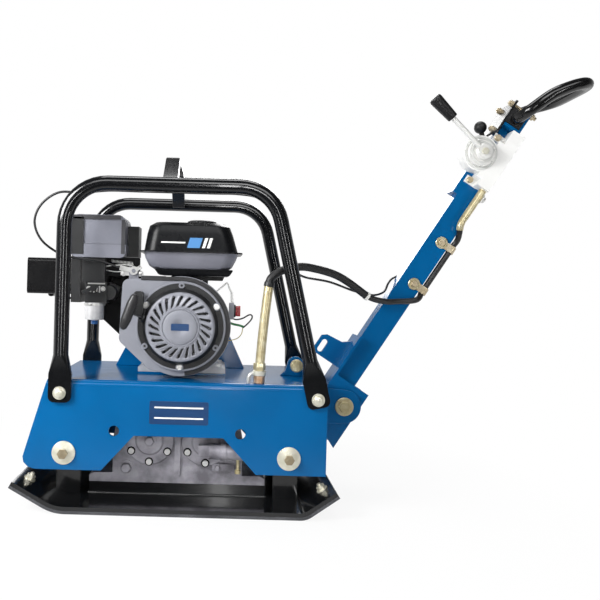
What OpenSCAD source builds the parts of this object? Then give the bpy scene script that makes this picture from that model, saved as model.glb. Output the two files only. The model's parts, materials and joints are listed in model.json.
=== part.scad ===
// Reversible plate compactor: ground plate, exciter, deck, engine and folding handle.
// Millimetres. X runs to the rear (handle), Y to the far side, Z up. Z = 0 is the floor under the mat.

/* [Ground plate] */
// Length of the plate from tip to tip
plate_len = 646; // [560:1:720]
// Width of the plate
plate_wid = 420; // [380:1:500]
// Thickness of the steel plate
plate_t = 8; // [6:0.5:12]
// Thickness of the rubber mat
mat_t = 6; // [4:0.5:10]
// Where the flat part ends at the front
flat_front = 212; // [190:1:235]
// Where the flat part ends at the rear
flat_rear = 246; // [235:1:260]
// Upward angle of the front end
nose_angle = 29; // [20:1:40]
// Upward angle of the rear end
tail_angle = 35; // [20:1:45]

/* [Deck] */
// Height of the deck top above the floor
deck_z = 256; // [250:1:275]
// Width over the skirts
deck_wid = 344; // [330:1:380]
// Sheet thickness of deck and skirts
deck_t = 6; // [4:0.5:8]
// Distance of the rear edge from the centre
deck_rear = 300; // [290:1:312]
// Height of the lower skirt edge
skirt_z = 76; // [66:1:84]

/* [Buffers] */
// Distance of the buffers from the centre along the machine
buffer_x = 225; // [215:1:232]
// Height of the buffer axis
buffer_z = 110; // [104:1:118]
// Radius of the rubber buffers
buffer_r = 30; // [24:1:33]

/* [Exciter] */
// Distance between the two shafts
shaft_gap = 116; // [116:4:124]
// Height of the shafts
shaft_z = 128; // [122:1:136]
// Number of teeth of each gear
gear_teeth = 29; // [25:2:33]
// Radius of the shafts
shaft_r = 15; // [13:0.5:17]

/* [Engine] */
// Height of the crank above the engine base
crank_rise = 106; // [104:1:112]
// Radius of the fan cover
fan_r = 103; // [98:1:106]
// Pitch radius of the starter screws
starter_bolt_r = 83.7; // [82:0.1:86]
// Radius of the belt on the clutch
clutch_belt_r = 42; // [38:1:46]
// Radius of the belt on the exciter pulley
driven_belt_r = 58; // [50:1:62]

/* [Hoops] */
// Radius of the hoop tube
tube_r = 15; // [12:0.5:17]
// Height of the top bars
hoop_z = 650; // [620:1:690]
// Radius of the tube bends
bend_r = 85; // [70:1:100]
// Lean of the rear legs
leg_lean = 13.2; // [8:0.1:16]

/* [Handle] */
// Distance of the pivot from the centre
pivot_x = 356; // [352:1:366]
// Height of the pivot
pivot_z = 196; // [192:1:204]
// Angle of the post above the floor in the lowest position
post_angle = 57.7; // [52:0.1:64]
// Depth of the post in the plane of the swing
post_deep = 50; // [44:1:56]
// Width of the post across the machine
post_wid = 40; // [36:1:48]
// Wall of the post
post_wall = 4; // [3:0.5:6]
// Distance from the pivot to the top of the post
post_top = 708; // [690:1:740]
// Distance of the lever's shaft below the top of the post
pump_drop = 85; // [76:1:95]
// Half width of the loop handle
loop_half = 97; // [70:1:120]

/* [Fits] */
// Radial clearance of turning and sliding fits
fit = 0.08; // [0.03:0.01:0.1]
// Radial clearance of screws in their holes
hole_gap = 0.4; // [0.2:0.05:0.8]
// Gap between plates that are welded to each other
weld_gap = 0.05; // [0.03:0.01:0.1]
// Gap between neighbouring pieces
gap = 0.4; // [0.3:0.05:0.8]

/* [Hidden] */
$fn = 64;
eps = 0.01;

blue = [0.02, 0.28, 0.5];
black = [0.05, 0.05, 0.06];
grey = [0.45, 0.46, 0.5];
steel = [0.75, 0.75, 0.75];
gold = [0.8, 0.65, 0.3];
white = [0.93, 0.93, 0.92];

plate_top = mat_t + plate_t;
nose_r = 95;
tail_r = 40;
skirt_y = deck_wid / 2;
skirt_in = skirt_y - deck_t;
deck_under = deck_z - deck_t;
skirt_foot_x = 46;
front_top_x = -262;
front_low_x = front_top_x - skirt_foot_x;
rear_plate_x = 262;
post_face = skirt_in - 46;
post_plate_t = 12;
pad_h = max(4, fan_r + 3 - crank_rise);
crank_z = deck_z + pad_h + crank_rise;
engine_z = deck_z + pad_h;
hoop_y = skirt_y + 4;
foot_t = 8;
foot_w = 46;
front_leg_x = -235;
rear_leg_x = 181;
hoop_bolt_z = 230;
half_gap = shaft_gap / 2;
module_mm = shaft_gap / gear_teeth;
gear_tip = half_gap + module_mm;
chamber_r = gear_tip + 3;
cover_r = half_gap - 8;
house_near = -118;
house_far = 92;
cover_t = 8;
belt_y0 = 118;
belt_w = 13;
belt_t = 8;
guard_y0 = 88;
guard_y1 = 156;
ear_in = 43;
ear_t = 8;
bolt_r = 8;
lug_t = 8;
lock_u = 85;
lock_n = 105;
lock_x = pivot_x - lock_n;
lock_z = pivot_z + lock_u;
web_n = post_deep - 2;
web_t = 6;
yoke_half = ear_in - 1;
block_side = 36;
block_u = post_top + 7 + block_side / 2;
block_n = block_side;
block_half = 44;
clamp_u = [post_top - 10, block_u + block_side / 2 + 8];
clamp_end = clamp_u[1] + 8;
hose_r = 6.5;
clip_u = [311, 421];
hose_n = -11.5;
hose_y = -post_wid / 2 + 7;
pin_u = post_top - pump_drop;
pin_n = 61;
rack_n = 13.5;
rack_r = 10.5;
pin_module = 3.5;
pin_teeth = 16;
pin_r = pin_module * pin_teeth / 2;
fan_y0 = -130;
fan_y1 = -52;
rim_y = fan_y0 - 4;
recoil_r = starter_bolt_r - 6.7;
flange_r = starter_bolt_r + 8;
arm_at = [-104, crank_z + fan_r + 9];
arm_y = [fan_y0 + 30, fan_y0 + 33];
cap_x = 36;
cap_y = -45;

// Cylinder along Y between two values
module ycyl(r, y0, y1) {
    translate([0, y0, 0])
        rotate([-90, 0, 0])
            cylinder(r = r, h = y1 - y0);
}

// Cylinder along X between two values
module xcyl(r, x0, x1) {
    translate([x0, 0, 0])
        rotate([0, 90, 0])
            cylinder(r = r, h = x1 - x0);
}

// Flat shape drawn in X and Z, given depth from y0 to y1
module xz(y0, y1) {
    translate([0, y1, 0])
        rotate([90, 0, 0])
            linear_extrude(y1 - y0)
                children();
}

// Turned shape about Y: profile points are [radius, y]
module turned_y(pts) {
    rotate([-90, 0, 0])
        rotate_extrude()
            polygon(pts);
}

// Hexagon along Y between two values
module yhex(r, y0, y1) {
    translate([0, y0, 0])
        rotate([-90, 0, 0])
            cylinder(r = r, h = y1 - y0, $fn = 6);
}

// Block between two corners
module box(a, b) {
    translate(a)
        cube(b - a);
}

// Rectangle with round corners between two corners
module round_rect(a, b, r) {
    translate(a + [r, 0])
        square([b[0] - a[0] - 2 * r, b[1] - a[1]]);
    translate(a + [0, r])
        square([b[0] - a[0], b[1] - a[1] - 2 * r]);
    for (p = [a + [r, r], [b[0] - r, a[1] + r], [a[0] + r, b[1] - r], b - [r, r]])
        translate(p)
            circle(r);
}

// Both sides of the machine: the piece is drawn on the near side
module both_sides() {
    children();
    mirror([0, 1, 0])
        children();
}

// Frame of the handle: x along the post, z out of its upper face
module in_handle() {
    translate([pivot_x, 0, pivot_z])
        rotate([0, -post_angle, 0])
            children();
}

// A point of the handle frame [u, y, n] in machine coordinates
function handle_pt(p) = [
    pivot_x + p[0] * cos(post_angle) - p[2] * sin(post_angle),
    p[1],
    pivot_z + p[0] * sin(post_angle) + p[2] * cos(post_angle)];

// Points of a smooth line through the given points
function smooth_pt(a, b, c, d, t) = 0.5 * (2 * b + (c - a) * t + (2 * a - 5 * b + 4 * c - d) * t * t
    + (3 * b - a - 3 * c + d) * t * t * t);
function smooth(p, n) = concat(
    [for (i = [0:len(p) - 2]) for (k = [0:n - 1])
        smooth_pt(p[max(i - 1, 0)], p[i], p[i + 1], p[min(i + 2, len(p) - 1)], k / n)],
    [p[len(p) - 1]]);
function smooth_loop(p, n) = [for (i = [0:len(p) - 1]) for (k = [0:n - 1])
    smooth_pt(p[(i + len(p) - 1) % len(p)], p[i], p[(i + 1) % len(p)], p[(i + 2) % len(p)], k / n)];

function unit(v) = v / norm(v);
function along(p) = [for (i = [0:len(p) - 1]) unit(p[min(i + 1, len(p) - 1)] - p[max(i - 1, 0)])];
function along_loop(p) = [for (i = [0:len(p) - 1]) unit(p[(i + 1) % len(p)] - p[(i + len(p) - 1) % len(p)])];
function across(n, t) = unit(n - (n * t) * t);
function sides(t, n0) = [for (i = 0, n = across(n0, t[0]); i < len(t);
    i = i + 1, n = i < len(t) ? across(n, t[i]) : n) n];
function ring(c, t, n, r, m) = [for (k = [0:m - 1])
    c + r * (cos(360 * k / m) * n + sin(360 * k / m) * cross(t, n))];

// Round cord of radius r along a line of points
module cord(p, r, m = 12) {
    t = along(p);
    n = sides(t, abs(t[0][1]) < 0.8 ? [0, 1, 0] : [1, 0, 0]);
    c = len(p);
    body = [for (i = [0:c - 1]) for (v = ring(p[i], t[i], n[i], r, m)) v];
    wall = [for (i = [0:c - 2]) for (k = [0:m - 1]) for (f = [
        [i * m + k, (i + 1) * m + k, i * m + (k + 1) % m],
        [i * m + (k + 1) % m, (i + 1) * m + k, (i + 1) * m + (k + 1) % m]]) f];
    first = [for (k = [1:m - 2]) [0, k, k + 1]];
    last = [for (k = [1:m - 2]) [(c - 1) * m, (c - 1) * m + k + 1, (c - 1) * m + k]];
    polyhedron(body, concat(wall, first, last));
}

// Closed ring of round tube along a loop of points that is symmetric about Y = 0
module cord_loop(p, r, m = 16) {
    t = along_loop(p);
    c = len(p);
    n = [for (i = [0:c - 1]) unit(cross(t[i], cross([-sin(25), 0, cos(25)], t[i])))];
    body = [for (i = [0:c - 1]) for (v = ring(p[i], t[i], n[i], r, m)) v];
    wall = [for (i = [0:c - 1]) for (k = [0:m - 1]) for (f = [
        [i * m + k, ((i + 1) % c) * m + k, i * m + (k + 1) % m],
        [i * m + (k + 1) % m, ((i + 1) % c) * m + k, ((i + 1) % c) * m + (k + 1) % m]]) f];
    polyhedron(body, wall);
}

// Spur gear outline with involute flanks and a tooth on the positive first axis
function inv_pt(rb, a) = [rb * (cos(a) + a * PI / 180 * sin(a)), rb * (sin(a) - a * PI / 180 * cos(a))];
function inv_roll(rb, r) = sqrt(max(0, r * r / (rb * rb) - 1)) * 180 / PI;
function polar(v) = atan2(v[1], v[0]);
module gear_2d(m, z, slack) {
    rp = m * z / 2;
    rb = rp * cos(20);
    rt = rp + 0.95 * m;
    rr = rp - 1.2 * m;
    r0 = max(rb, rr);
    half = 90 / z - slack / rp * 90 / PI;
    at_pitch = polar(inv_pt(rb, inv_roll(rb, rp)));
    flank = [for (i = [0:4]) let (p = inv_pt(rb, inv_roll(rb, r0 + (rt - r0) * i / 4)))
        [norm(p), half + at_pitch - polar(p)]];
    tooth = concat([[rr, flank[0][1]]], flank);
    outline = [for (k = [0:z - 1]) for (q = concat([for (f = tooth) [f[0], -f[1]]],
        [for (i = [len(tooth) - 1:-1:0]) tooth[i]])) let (a = q[1] + 360 * k / z) q[0] * [cos(a), sin(a)]];
    polygon(outline);
}

// Section of the plate: the line at height d above its underside
nose_run = (plate_len / 2 - flat_front - nose_r * sin(nose_angle)) / cos(nose_angle);
tail_run = (plate_len / 2 - flat_rear - tail_r * sin(tail_angle)) / cos(tail_angle);
function nose_pt(a, d, run) = [-flat_front - (nose_r - d) * sin(a) - run * cos(nose_angle),
    nose_r - (nose_r - d) * cos(a) + run * sin(nose_angle)];
function tail_pt(a, d, run) = [flat_rear + (tail_r - d) * sin(a) + run * cos(tail_angle),
    tail_r - (tail_r - d) * cos(a) + run * sin(tail_angle)];
function plate_line(d) = concat([nose_pt(nose_angle, d, nose_run)],
    [for (i = [8:-1:0]) nose_pt(nose_angle * i / 8, d, 0)],
    [for (i = [0:6]) tail_pt(tail_angle * i / 6, d, 0)],
    [tail_pt(tail_angle, d, tail_run)]);
function reversed(p) = [for (i = [len(p) - 1:-1:0]) p[i]];
module plate_layer(d0, d1) {
    polygon(concat(plate_line(d0), reversed(plate_line(d1))));
}

// Four places near the tips where a stud holds the mat, standing square on the slope
stud_in = 22;
stud_y = 150;
module at_studs() {
    for (s = [-1, 1]) {
        p = nose_pt(nose_angle, 0, nose_run - stud_in);
        q = tail_pt(tail_angle, 0, tail_run - stud_in);
        translate([p[0], s * stud_y, p[1]])
            rotate([0, nose_angle, 0])
                children();
        translate([q[0], s * stud_y, q[1]])
            rotate([0, -tail_angle, 0])
                children();
    }
}
stud_r = 4;

module base_plate() {
    color(black)
        difference() {
            xz(-plate_wid / 2, plate_wid / 2)
                plate_layer(mat_t, plate_top);
            at_studs()
                cylinder(r = stud_r + hole_gap, h = 60, center = true);
        }
}

module paving_mat() {
    color(grey)
        difference() {
            xz(-plate_wid / 2, plate_wid / 2)
                plate_layer(0, mat_t);
            at_studs()
                cylinder(r = stud_r + hole_gap, h = 60, center = true);
        }
}

// Welded posts that carry the buffers
buffer_bolt_r = 6;
module at_buffers() {
    for (x = [-buffer_x, buffer_x])
        translate([x, 0, buffer_z])
            children();
}
module buffer_posts() {
    wide = 25;
    rib = 22;
    color(black)
        both_sides()
            difference() {
                union() {
                    for (x = [-buffer_x, buffer_x]) {
                        box([x - wide, -post_face, plate_top],
                            [x + wide, -post_face + post_plate_t, buffer_z + wide]);
                        box([x - 4, -post_face + post_plate_t, plate_top],
                            [x + 4, -post_face + post_plate_t + rib, 85]);
                    }
                }
                xz(-plate_wid, 0)
                    polygon(concat([[-plate_len, -40]], plate_line(plate_top), [[plate_len, -40]]));
                at_buffers()
                    ycyl(buffer_bolt_r + hole_gap, -plate_wid, 0);
            }
}

module rubber_buffers() {
    bore = buffer_bolt_r + hole_gap;
    waist = buffer_r - 4;
    color(black)
        both_sides()
            at_buffers()
                turned_y([[bore, -skirt_in], [buffer_r, -skirt_in], [buffer_r, -skirt_in + 6],
                    [waist, -skirt_in + 16], [waist, -post_face - 16], [buffer_r, -post_face - 6],
                    [buffer_r, -post_face], [bore, -post_face]]);
}

// Bolts with washers: buffers, hoop feet and mat studs
hoop_bolt_r = 5;
function rear_leg_at(z) = rear_leg_x + (hoop_z - z) * tan(leg_lean);
module at_hoop_bolts() {
    for (x = [front_leg_x, rear_leg_at(hoop_bolt_z)])
        translate([x, 0, hoop_bolt_z])
            children();
}
module frame_bolts() {
    foot_y = skirt_y + foot_t;
    color(gold) {
        both_sides() {
            at_buffers() {
                turned_y([[0, -skirt_y - 8], [12, -skirt_y - 5], [23.5, -skirt_y - 2.5], [23.5, -skirt_y],
                    [buffer_bolt_r, -skirt_y], [buffer_bolt_r, -post_face + 24], [0, -post_face + 24]]);
                yhex(10.5, -skirt_y - 15, -skirt_y - 7);
                difference() {
                    yhex(11, -post_face + post_plate_t, -post_face + post_plate_t + 10);
                    ycyl(buffer_bolt_r - eps, -skirt_y, 0);
                }
            }
            at_hoop_bolts() {
                turned_y([[0, -foot_y - 11], [5, -foot_y - 10.4], [8.5, -foot_y - 8], [9, -foot_y - 2.5],
                    [13, -foot_y - 2.5], [13, -foot_y], [hoop_bolt_r, -foot_y],
                    [hoop_bolt_r, -skirt_in + 12],
                    [0, -skirt_in + 12]]);
                difference() {
                    yhex(9.5, -skirt_in, -skirt_in + 8);
                    ycyl(hoop_bolt_r - eps, -skirt_y, 0);
                }
            }
        }
        at_studs() {
            translate([0, 0, -3])
                cylinder(r = stud_r, h = plate_top + 3 + 15);
            translate([0, 0, -3])
                cylinder(r = 10, h = 3);
            difference() {
                union() {
                    translate([0, 0, plate_top])
                        cylinder(r = 12, h = 2);
                    translate([0, 0, plate_top + 2])
                        cylinder(r = 9, h = 8, $fn = 6);
                }
                cylinder(r = stud_r - eps, h = 60);
            }
        }
    }
}

// Exciter: cast housing with two chambers, shafts along Y
module at_shafts() {
    for (x = [-half_gap, half_gap])
        translate([x, 0, shaft_z])
            children();
}
bearing_r = 31;
bearing_w = 18;
wall_near = house_near + 26;
wall_far = house_far - 26;
flange_x = 182;
flange_z = [39, 58];
module exciter_housing() {
    body_r = chamber_r + 11;
    color(grey)
        difference() {
            union() {
                box([-flange_x, house_near + 6, plate_top], [flange_x, house_far - 4, flange_z[0]]);
                xz(house_near, house_far)
                    polygon([[-flange_x, flange_z[0]], [flange_x, flange_z[0]], [flange_x, flange_z[1] - 6],
                        [flange_x - 10, flange_z[1]], [-flange_x + 10, flange_z[1]],
                        [-flange_x, flange_z[1] - 6]]);
                at_shafts()
                    ycyl(body_r, house_near, house_far);
                box([-half_gap - body_r, house_near, flange_z[0]], [half_gap + body_r, house_far, shaft_z]);
                box([-6, house_near - 5, flange_z[1]], [6, house_near + 10, shaft_z + 48]);
            }
            at_shafts() {
                ycyl(chamber_r, wall_near, wall_far);
                ycyl(bearing_r, house_near - 10, house_far + 10);
                for (a = [30:60:330])
                    rotate([0, a, 0])
                        translate([cover_r - 7, 0, 0]) {
                            ycyl(3 + hole_gap, house_near - 1, house_near + 16);
                            ycyl(3 + hole_gap, house_far - 16, house_far + 1);
                        }
            }
        }
}

module cover_holes(y0, y1) {
    for (a = [30:60:330])
        rotate([0, a, 0])
            translate([cover_r - 7, 0, 0])
                ycyl(3 + hole_gap, y0, y1);
}
seal_r = shaft_r + 1;
module bearing_covers() {
    color(grey) {
        at_shafts()
            difference() {
                turned_y([[0, house_near - cover_t - 4], [26, house_near - cover_t - 4],
                    [30, house_near - cover_t],
                    [cover_r - 2, house_near - cover_t], [cover_r, house_near - cover_t + 2],
                    [cover_r, house_near], [0, house_near]]);
                cover_holes(house_near - 20, house_near + 1);
            }
        at_shafts()
            difference() {
                turned_y([[0, house_far], [cover_r, house_far], [cover_r, house_far + cover_t - 2],
                    [cover_r - 2, house_far + cover_t], [0, house_far + cover_t]]);
                cover_holes(house_far - 1, house_far + 20);
                ycyl(seal_r, house_far - 1, house_far + 20);
            }
    }
}

bearing_near = [wall_near - bearing_w, wall_near];
bearing_far = [wall_far, wall_far + bearing_w];
module exciter_bearings() {
    color(steel)
        at_shafts()
            for (b = [bearing_near, bearing_far])
                difference() {
                    ycyl(bearing_r - fit, b[0], b[1]);
                    ycyl(shaft_r + fit, b[0] - 1, b[1] + 1);
                }
}

// Shaft with its half-round weight; the shaft length past the far wall is given
weight_y = [-64, 16];
gear_y = [28, 52];
module eccentric(far_end) {
    ycyl(shaft_r, house_near + 4, far_end);
    intersection() {
        ycyl(half_gap - 6, weight_y[0], weight_y[1]);
        translate([-half_gap, weight_y[0], -half_gap])
            cube([shaft_gap, weight_y[1] - weight_y[0], half_gap]);
    }
}

pulley_end = belt_y0 + belt_w + 8;
module front_eccentric() {
    color(steel)
        translate([-half_gap, 0, shaft_z])
            eccentric(pulley_end);
}

module rear_eccentric() {
    color(steel)
        translate([half_gap, 0, shaft_z])
            eccentric(house_far + cover_t - 1);
}

module spur_gear() {
    difference() {
        xz(gear_y[0], gear_y[1])
            gear_2d(module_mm, gear_teeth, 0.5);
        ycyl(shaft_r + fit, gear_y[0] - 1, gear_y[1] + 1);
        for (a = [30:60:330])
            rotate([0, a, 0])
                translate([34, 0, 0])
                    ycyl(9, gear_y[0] - 1, gear_y[1] + 1);
    }
}

module front_gear() {
    color(steel)
        translate([-half_gap, 0, shaft_z])
            spur_gear();
}

module rear_gear() {
    color(steel)
        translate([half_gap, 0, shaft_z])
            spur_gear();
}

// Grooved pulley about Y: outer radius, bore and hub length towards the near side
module grooved(belt_r, bore, hub_y, hub_r) {
    floor_r = belt_r - belt_t - gap;
    rim_r = belt_r + 4;
    y0 = belt_y0 - gap - 4;
    y1 = belt_y0 + belt_w + gap + 4;
    turned_y([[bore, hub_y], [hub_r, hub_y], [hub_r, y0], [rim_r, y0], [rim_r, y0 + 4], [floor_r, y0 + 4],
        [floor_r, y1 - 4], [rim_r, y1 - 4], [rim_r, y1], [bore, y1]]);
}

module driven_pulley() {
    color(black)
        translate([-half_gap, 0, shaft_z])
            difference() {
                grooved(driven_belt_r, shaft_r + fit, house_far + cover_t + 7, 24);
                for (a = [0:60:300])
                    rotate([0, a, 0])
                        translate([32, 0, 0])
                            ycyl(9, belt_y0 - 20, belt_y0 + 60);
            }
}

module v_belt() {
    module run(inset) {
        hull() {
            translate([0, crank_z])
                circle(clutch_belt_r - inset, $fn = 72);
            translate([-half_gap, shaft_z])
                circle(driven_belt_r - inset, $fn = 72);
        }
    }
    color(black)
        xz(belt_y0, belt_y0 + belt_w)
            difference() {
                run(0);
                run(belt_t);
            }
}

// Hydraulic cylinder that shifts the phase of the rear shaft
shift_x = [66, 136];
shift_z = 114;
shift_bore = 10.5;
shift_r = 16.4;
shift_y = -skirt_in + shift_r + 1;
module shift_cylinder() {
    color(grey)
        difference() {
            union() {
                translate([0, shift_y, shift_z]) {
                    xcyl(shift_r - 1.6, shift_x[0], shift_x[1]);
                    xcyl(shift_r, shift_x[0] + 24, shift_x[0] + 34);
                    xcyl(shift_r, shift_x[1] - 8, shift_x[1]);
                }
                box([half_gap - 14, shift_y, shift_z - 12],
                    [half_gap + 14, house_near - cover_t - 4, shift_z + 12]);
            }
            translate([0, shift_y, shift_z])
                xcyl(shift_bore, shift_x[0] + 7, shift_x[1] - 6);
            translate([0, shift_y, shift_z])
                xcyl(4, shift_x[1] - 10, shift_x[1] + 1);
        }
}

shift_mid = (shift_x[0] + shift_x[1] + 1) / 2;
module shift_piston() {
    half = 11;
    color(steel)
        translate([0, shift_y, shift_z])
            xcyl(shift_bore - fit, shift_mid - half, shift_mid + half);
}

// Line from the shift cylinder up through the deck
riser_x = 163;
riser_y = -148;
line_r = 6;
module hydraulic_line() {
    x = shift_x[1];
    color(gold) {
        translate([0, shift_y, shift_z]) {
            difference() {
                translate([x, 0, 0])
                    rotate([0, 90, 0])
                        cylinder(r = 10, h = 10, $fn = 6);
                xcyl(3, x - 1, x + 11);
            }
        }
        cord(smooth([[x + 10, shift_y, shift_z], [x + 18, shift_y, shift_z + 1],
            [riser_x - 1, riser_y, shift_z + 18],
            [riser_x, riser_y, shift_z + 50], [riser_x, riser_y, deck_under - 20],
            [riser_x, riser_y, deck_under]], 4),
            line_r, 12);
    }
}

// Deck: folded sheet with two skirts, trimmed to the side outline
pad_x = [-95, 95];
pad_y = [-48, 84];
slot_x = [-104, 48];
slot_y = [belt_y0 - 12, belt_y0 + belt_w + 14];
engine_bolt_x = 81;
engine_bolt_y = [-28, 47.5];
module side_outline() {
    difference() {
        polygon([[front_top_x, deck_z], [deck_rear, deck_z], [deck_rear, skirt_z], [160, skirt_z],
            [93, 147],
            [-86, 147], [-150, skirt_z], [front_low_x + 26, skirt_z], [front_low_x + 12, skirt_z + 4],
            [front_low_x + 3, skirt_z + 13], [front_low_x + 1, skirt_z + 24],
            [front_low_x + 4, skirt_z + 35]]);
        for (x = [-126, 127])
            translate([x, 156])
                circle(10.5);
    }
}
module deck_section(inset) {
    r = 11 - inset;
    round_rect([-skirt_y + inset, -200], [skirt_y - inset, deck_z - inset], r);
}
module along_deck() {
    translate([front_low_x - 20, 0, 0])
        rotate([90, 0, 90])
            linear_extrude(deck_rear - front_low_x + 40)
                children();
}
module deck_shell(z0, z1) {
    intersection() {
        along_deck()
            difference() {
                deck_section(0);
                deck_section(deck_t);
            }
        xz(-skirt_y - 10, skirt_y + 10)
            side_outline();
        box([front_low_x - 20, -skirt_y - 10, z0], [deck_rear + 20, skirt_y + 10, z1]);
    }
}
module deck() {
    apron = [front_top_x + 1, deck_under];
    lean = skirt_foot_x / (deck_z - skirt_z - 13);
    bend_z = deck_z - 12;
    color(blue)
        difference() {
            union() {
                deck_shell(bend_z, deck_z + 1);
                deck_shell(0, bend_z - weld_gap);
                intersection() {
                    along_deck()
                        deck_section(deck_t + weld_gap);
                    union() {
                        xz(-skirt_in, skirt_in)
                            polygon([apron, apron + [deck_t, 0],
                                [apron[0] + deck_t - lean * 140, deck_under - 140],
                                [apron[0] - lean * 140, deck_under - 140]]);
                        box([rear_plate_x, -skirt_in, skirt_z + 14],
                            [rear_plate_x + deck_t, skirt_in, deck_under]);
                    }
                }
                box([pad_x[0], pad_y[0], deck_z], [pad_x[1], pad_y[1], engine_z]);
            }
            at_buffers()
                ycyl(buffer_bolt_r + hole_gap, -plate_wid, plate_wid);
            at_hoop_bolts()
                ycyl(hoop_bolt_r + hole_gap, -plate_wid, plate_wid);
            translate([slot_x[0], slot_y[0], deck_under - 10])
                cube([slot_x[1] - slot_x[0], slot_y[1] - slot_y[0], 40]);
            translate([riser_x, riser_y, deck_under - 10])
                cylinder(r = line_r + 2, h = 40);
            for (x = [-engine_bolt_x, engine_bolt_x])
                for (y = engine_bolt_y)
                    translate([x, y, deck_under - 10])
                        cylinder(r = 4 + hole_gap, h = 40);
        }
}

// Ears at the rear that carry the handle
ear_r = 37;
module pivot_bracket() {
    x0 = rear_plate_x + deck_t;
    color(blue)
        both_sides()
            difference() {
                xz(-ear_in - ear_t, -ear_in) {
                    polygon([[x0, pivot_z - 42], [pivot_x, pivot_z - ear_r], [pivot_x, pivot_z + ear_r],
                        [x0, pivot_z + 42]]);
                    translate([pivot_x, pivot_z])
                        circle(ear_r);
                }
                translate([pivot_x, 0, pivot_z])
                    ycyl(bolt_r + hole_gap, -100, 0);
            }
}

module pivot_bolt() {
    y = ear_in + ear_t;
    color(gold)
        translate([pivot_x, 0, pivot_z]) {
            turned_y([[0, -y - 4], [19, -y - 4], [20, -y - 3], [20, -y], [bolt_r, -y], [bolt_r, y], [20, y],
                [20, y + 3], [19, y + 4], [0, y + 4]]);
            yhex(13, -y - 13, -y - 4);
            yhex(13, y + 4, y + 15);
        }
}

module handle_stop() {
    x0 = rear_plate_x + deck_t;
    color(black)
        difference() {
            translate([0, 0, pivot_z - 11])
                xcyl(14, x0, x0 + 50);
            in_handle()
                box([-200, -100, -100], [300, 100, web_n + web_t + gap]);
        }
}

// Lock pin in a bracket on the deck: pushed in, it holds the handle upright
lock_r = 5.5;
pin_y = [-52, -8];
knob_y = -40;
bracket_y = [-22, -14];
module lock_bracket() {
    color(blue)
        difference() {
            xz(bracket_y[0], bracket_y[1]) {
                polygon([[lock_x - 34, deck_z], [lock_x + 30, deck_z], [lock_x + 18, lock_z],
                    [lock_x - 18, lock_z],
                    [lock_x - 22, deck_z + 12]]);
                translate([lock_x, lock_z])
                    circle(18);
            }
            translate([lock_x, 0, lock_z])
                ycyl(lock_r + fit, bracket_y[0] - 1, bracket_y[1] + 1);
        }
}

module lock_pin() {
    color(gold)
        translate([lock_x, 0, lock_z])
            turned_y([[0, pin_y[0]], [12, pin_y[0]], [14, pin_y[0] + 2], [14, knob_y - 2], [12, knob_y],
                [lock_r, knob_y], [lock_r, pin_y[1] - 2], [lock_r - 2, pin_y[1]], [0, pin_y[1]]]);
}

// Tube hoop on the near side: bent tube with flattened feet
turn = 90 - leg_lean;
rear_tan = bend_r * tan(turn / 2);
flat_z = 268;
round_z = 305;
foot_z = 211;
function arc_xz(c, a0, a1, n) = [for (i = [0:n]) let (a = a0 + (a1 - a0) * i / n)
    [c[0] + bend_r * cos(a), 0, c[1] + bend_r * sin(a)]];
hoop_line = concat([[front_leg_x, 0, round_z]],
    arc_xz([front_leg_x + bend_r, hoop_z - bend_r], 180, 90, 10),
    arc_xz([rear_leg_x - rear_tan, hoop_z - bend_r], 90, leg_lean, 9),
    [[rear_leg_at(round_z), 0, round_z]]);
module foot() {
    hull() {
        translate([0, 0, round_z - flat_z])
            cylinder(r = tube_r - gap, h = 3, $fn = 32);
        translate([-foot_w / 2, -foot_t / 2, 0])
            cube([foot_w, foot_t, eps]);
    }
    translate([0, foot_t / 2, 0])
        rotate([90, 0, 0])
            linear_extrude(foot_t)
                round_rect([-foot_w / 2, foot_z - flat_z], [foot_w / 2, eps], 12);
    box([-foot_w / 2, -foot_t / 2, -14], [foot_w / 2, foot_t / 2, 0]);
}
module hoop() {
    color(black)
        translate([0, -hoop_y, 0])
            difference() {
                union() {
                    cord(hoop_line, tube_r, 24);
                    translate([front_leg_x, 0, flat_z])
                        foot();
                    translate([rear_leg_at(round_z), 0, round_z])
                        rotate([0, -leg_lean, 0])
                            translate([0, 0, flat_z - round_z])
                                foot();
                }
                at_hoop_bolts()
                    ycyl(hoop_bolt_r + hole_gap, -50, 50);
            }
}

module near_hoop() {
    hoop();
}

module far_hoop() {
    mirror([0, 1, 0])
        hoop();
}

// Flat bar between the top bars, for the lifting hook
arch_x = -28;
arch_w = 30;
module lifting_arch() {
    t = 11;
    rise = 62;
    foot_y = hoop_y - 4;
    top_y = 92;
    color(black)
        difference() {
            translate([arch_x - arch_w / 2, 0, hoop_z])
                rotate([90, 0, 90])
                    linear_extrude(arch_w)
                        polygon([[-foot_y, -8], [-foot_y, 6], [-top_y, rise + t / 2],
                            [-top_y + 18, rise + t],
                            [top_y - 18, rise + t], [top_y, rise + t / 2], [foot_y, 6], [foot_y, -8],
                            [foot_y - 12, -8], [top_y - 8, rise - t / 2], [top_y - 22, rise],
                            [-top_y + 22, rise],
                            [-top_y + 8, rise - t / 2], [-foot_y + 12, -8]]);
            for (s = [-1, 1])
                translate([0, s * hoop_y, hoop_z])
                    xcyl(tube_r, arch_x - 60, arch_x + 60);
        }
}

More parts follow.
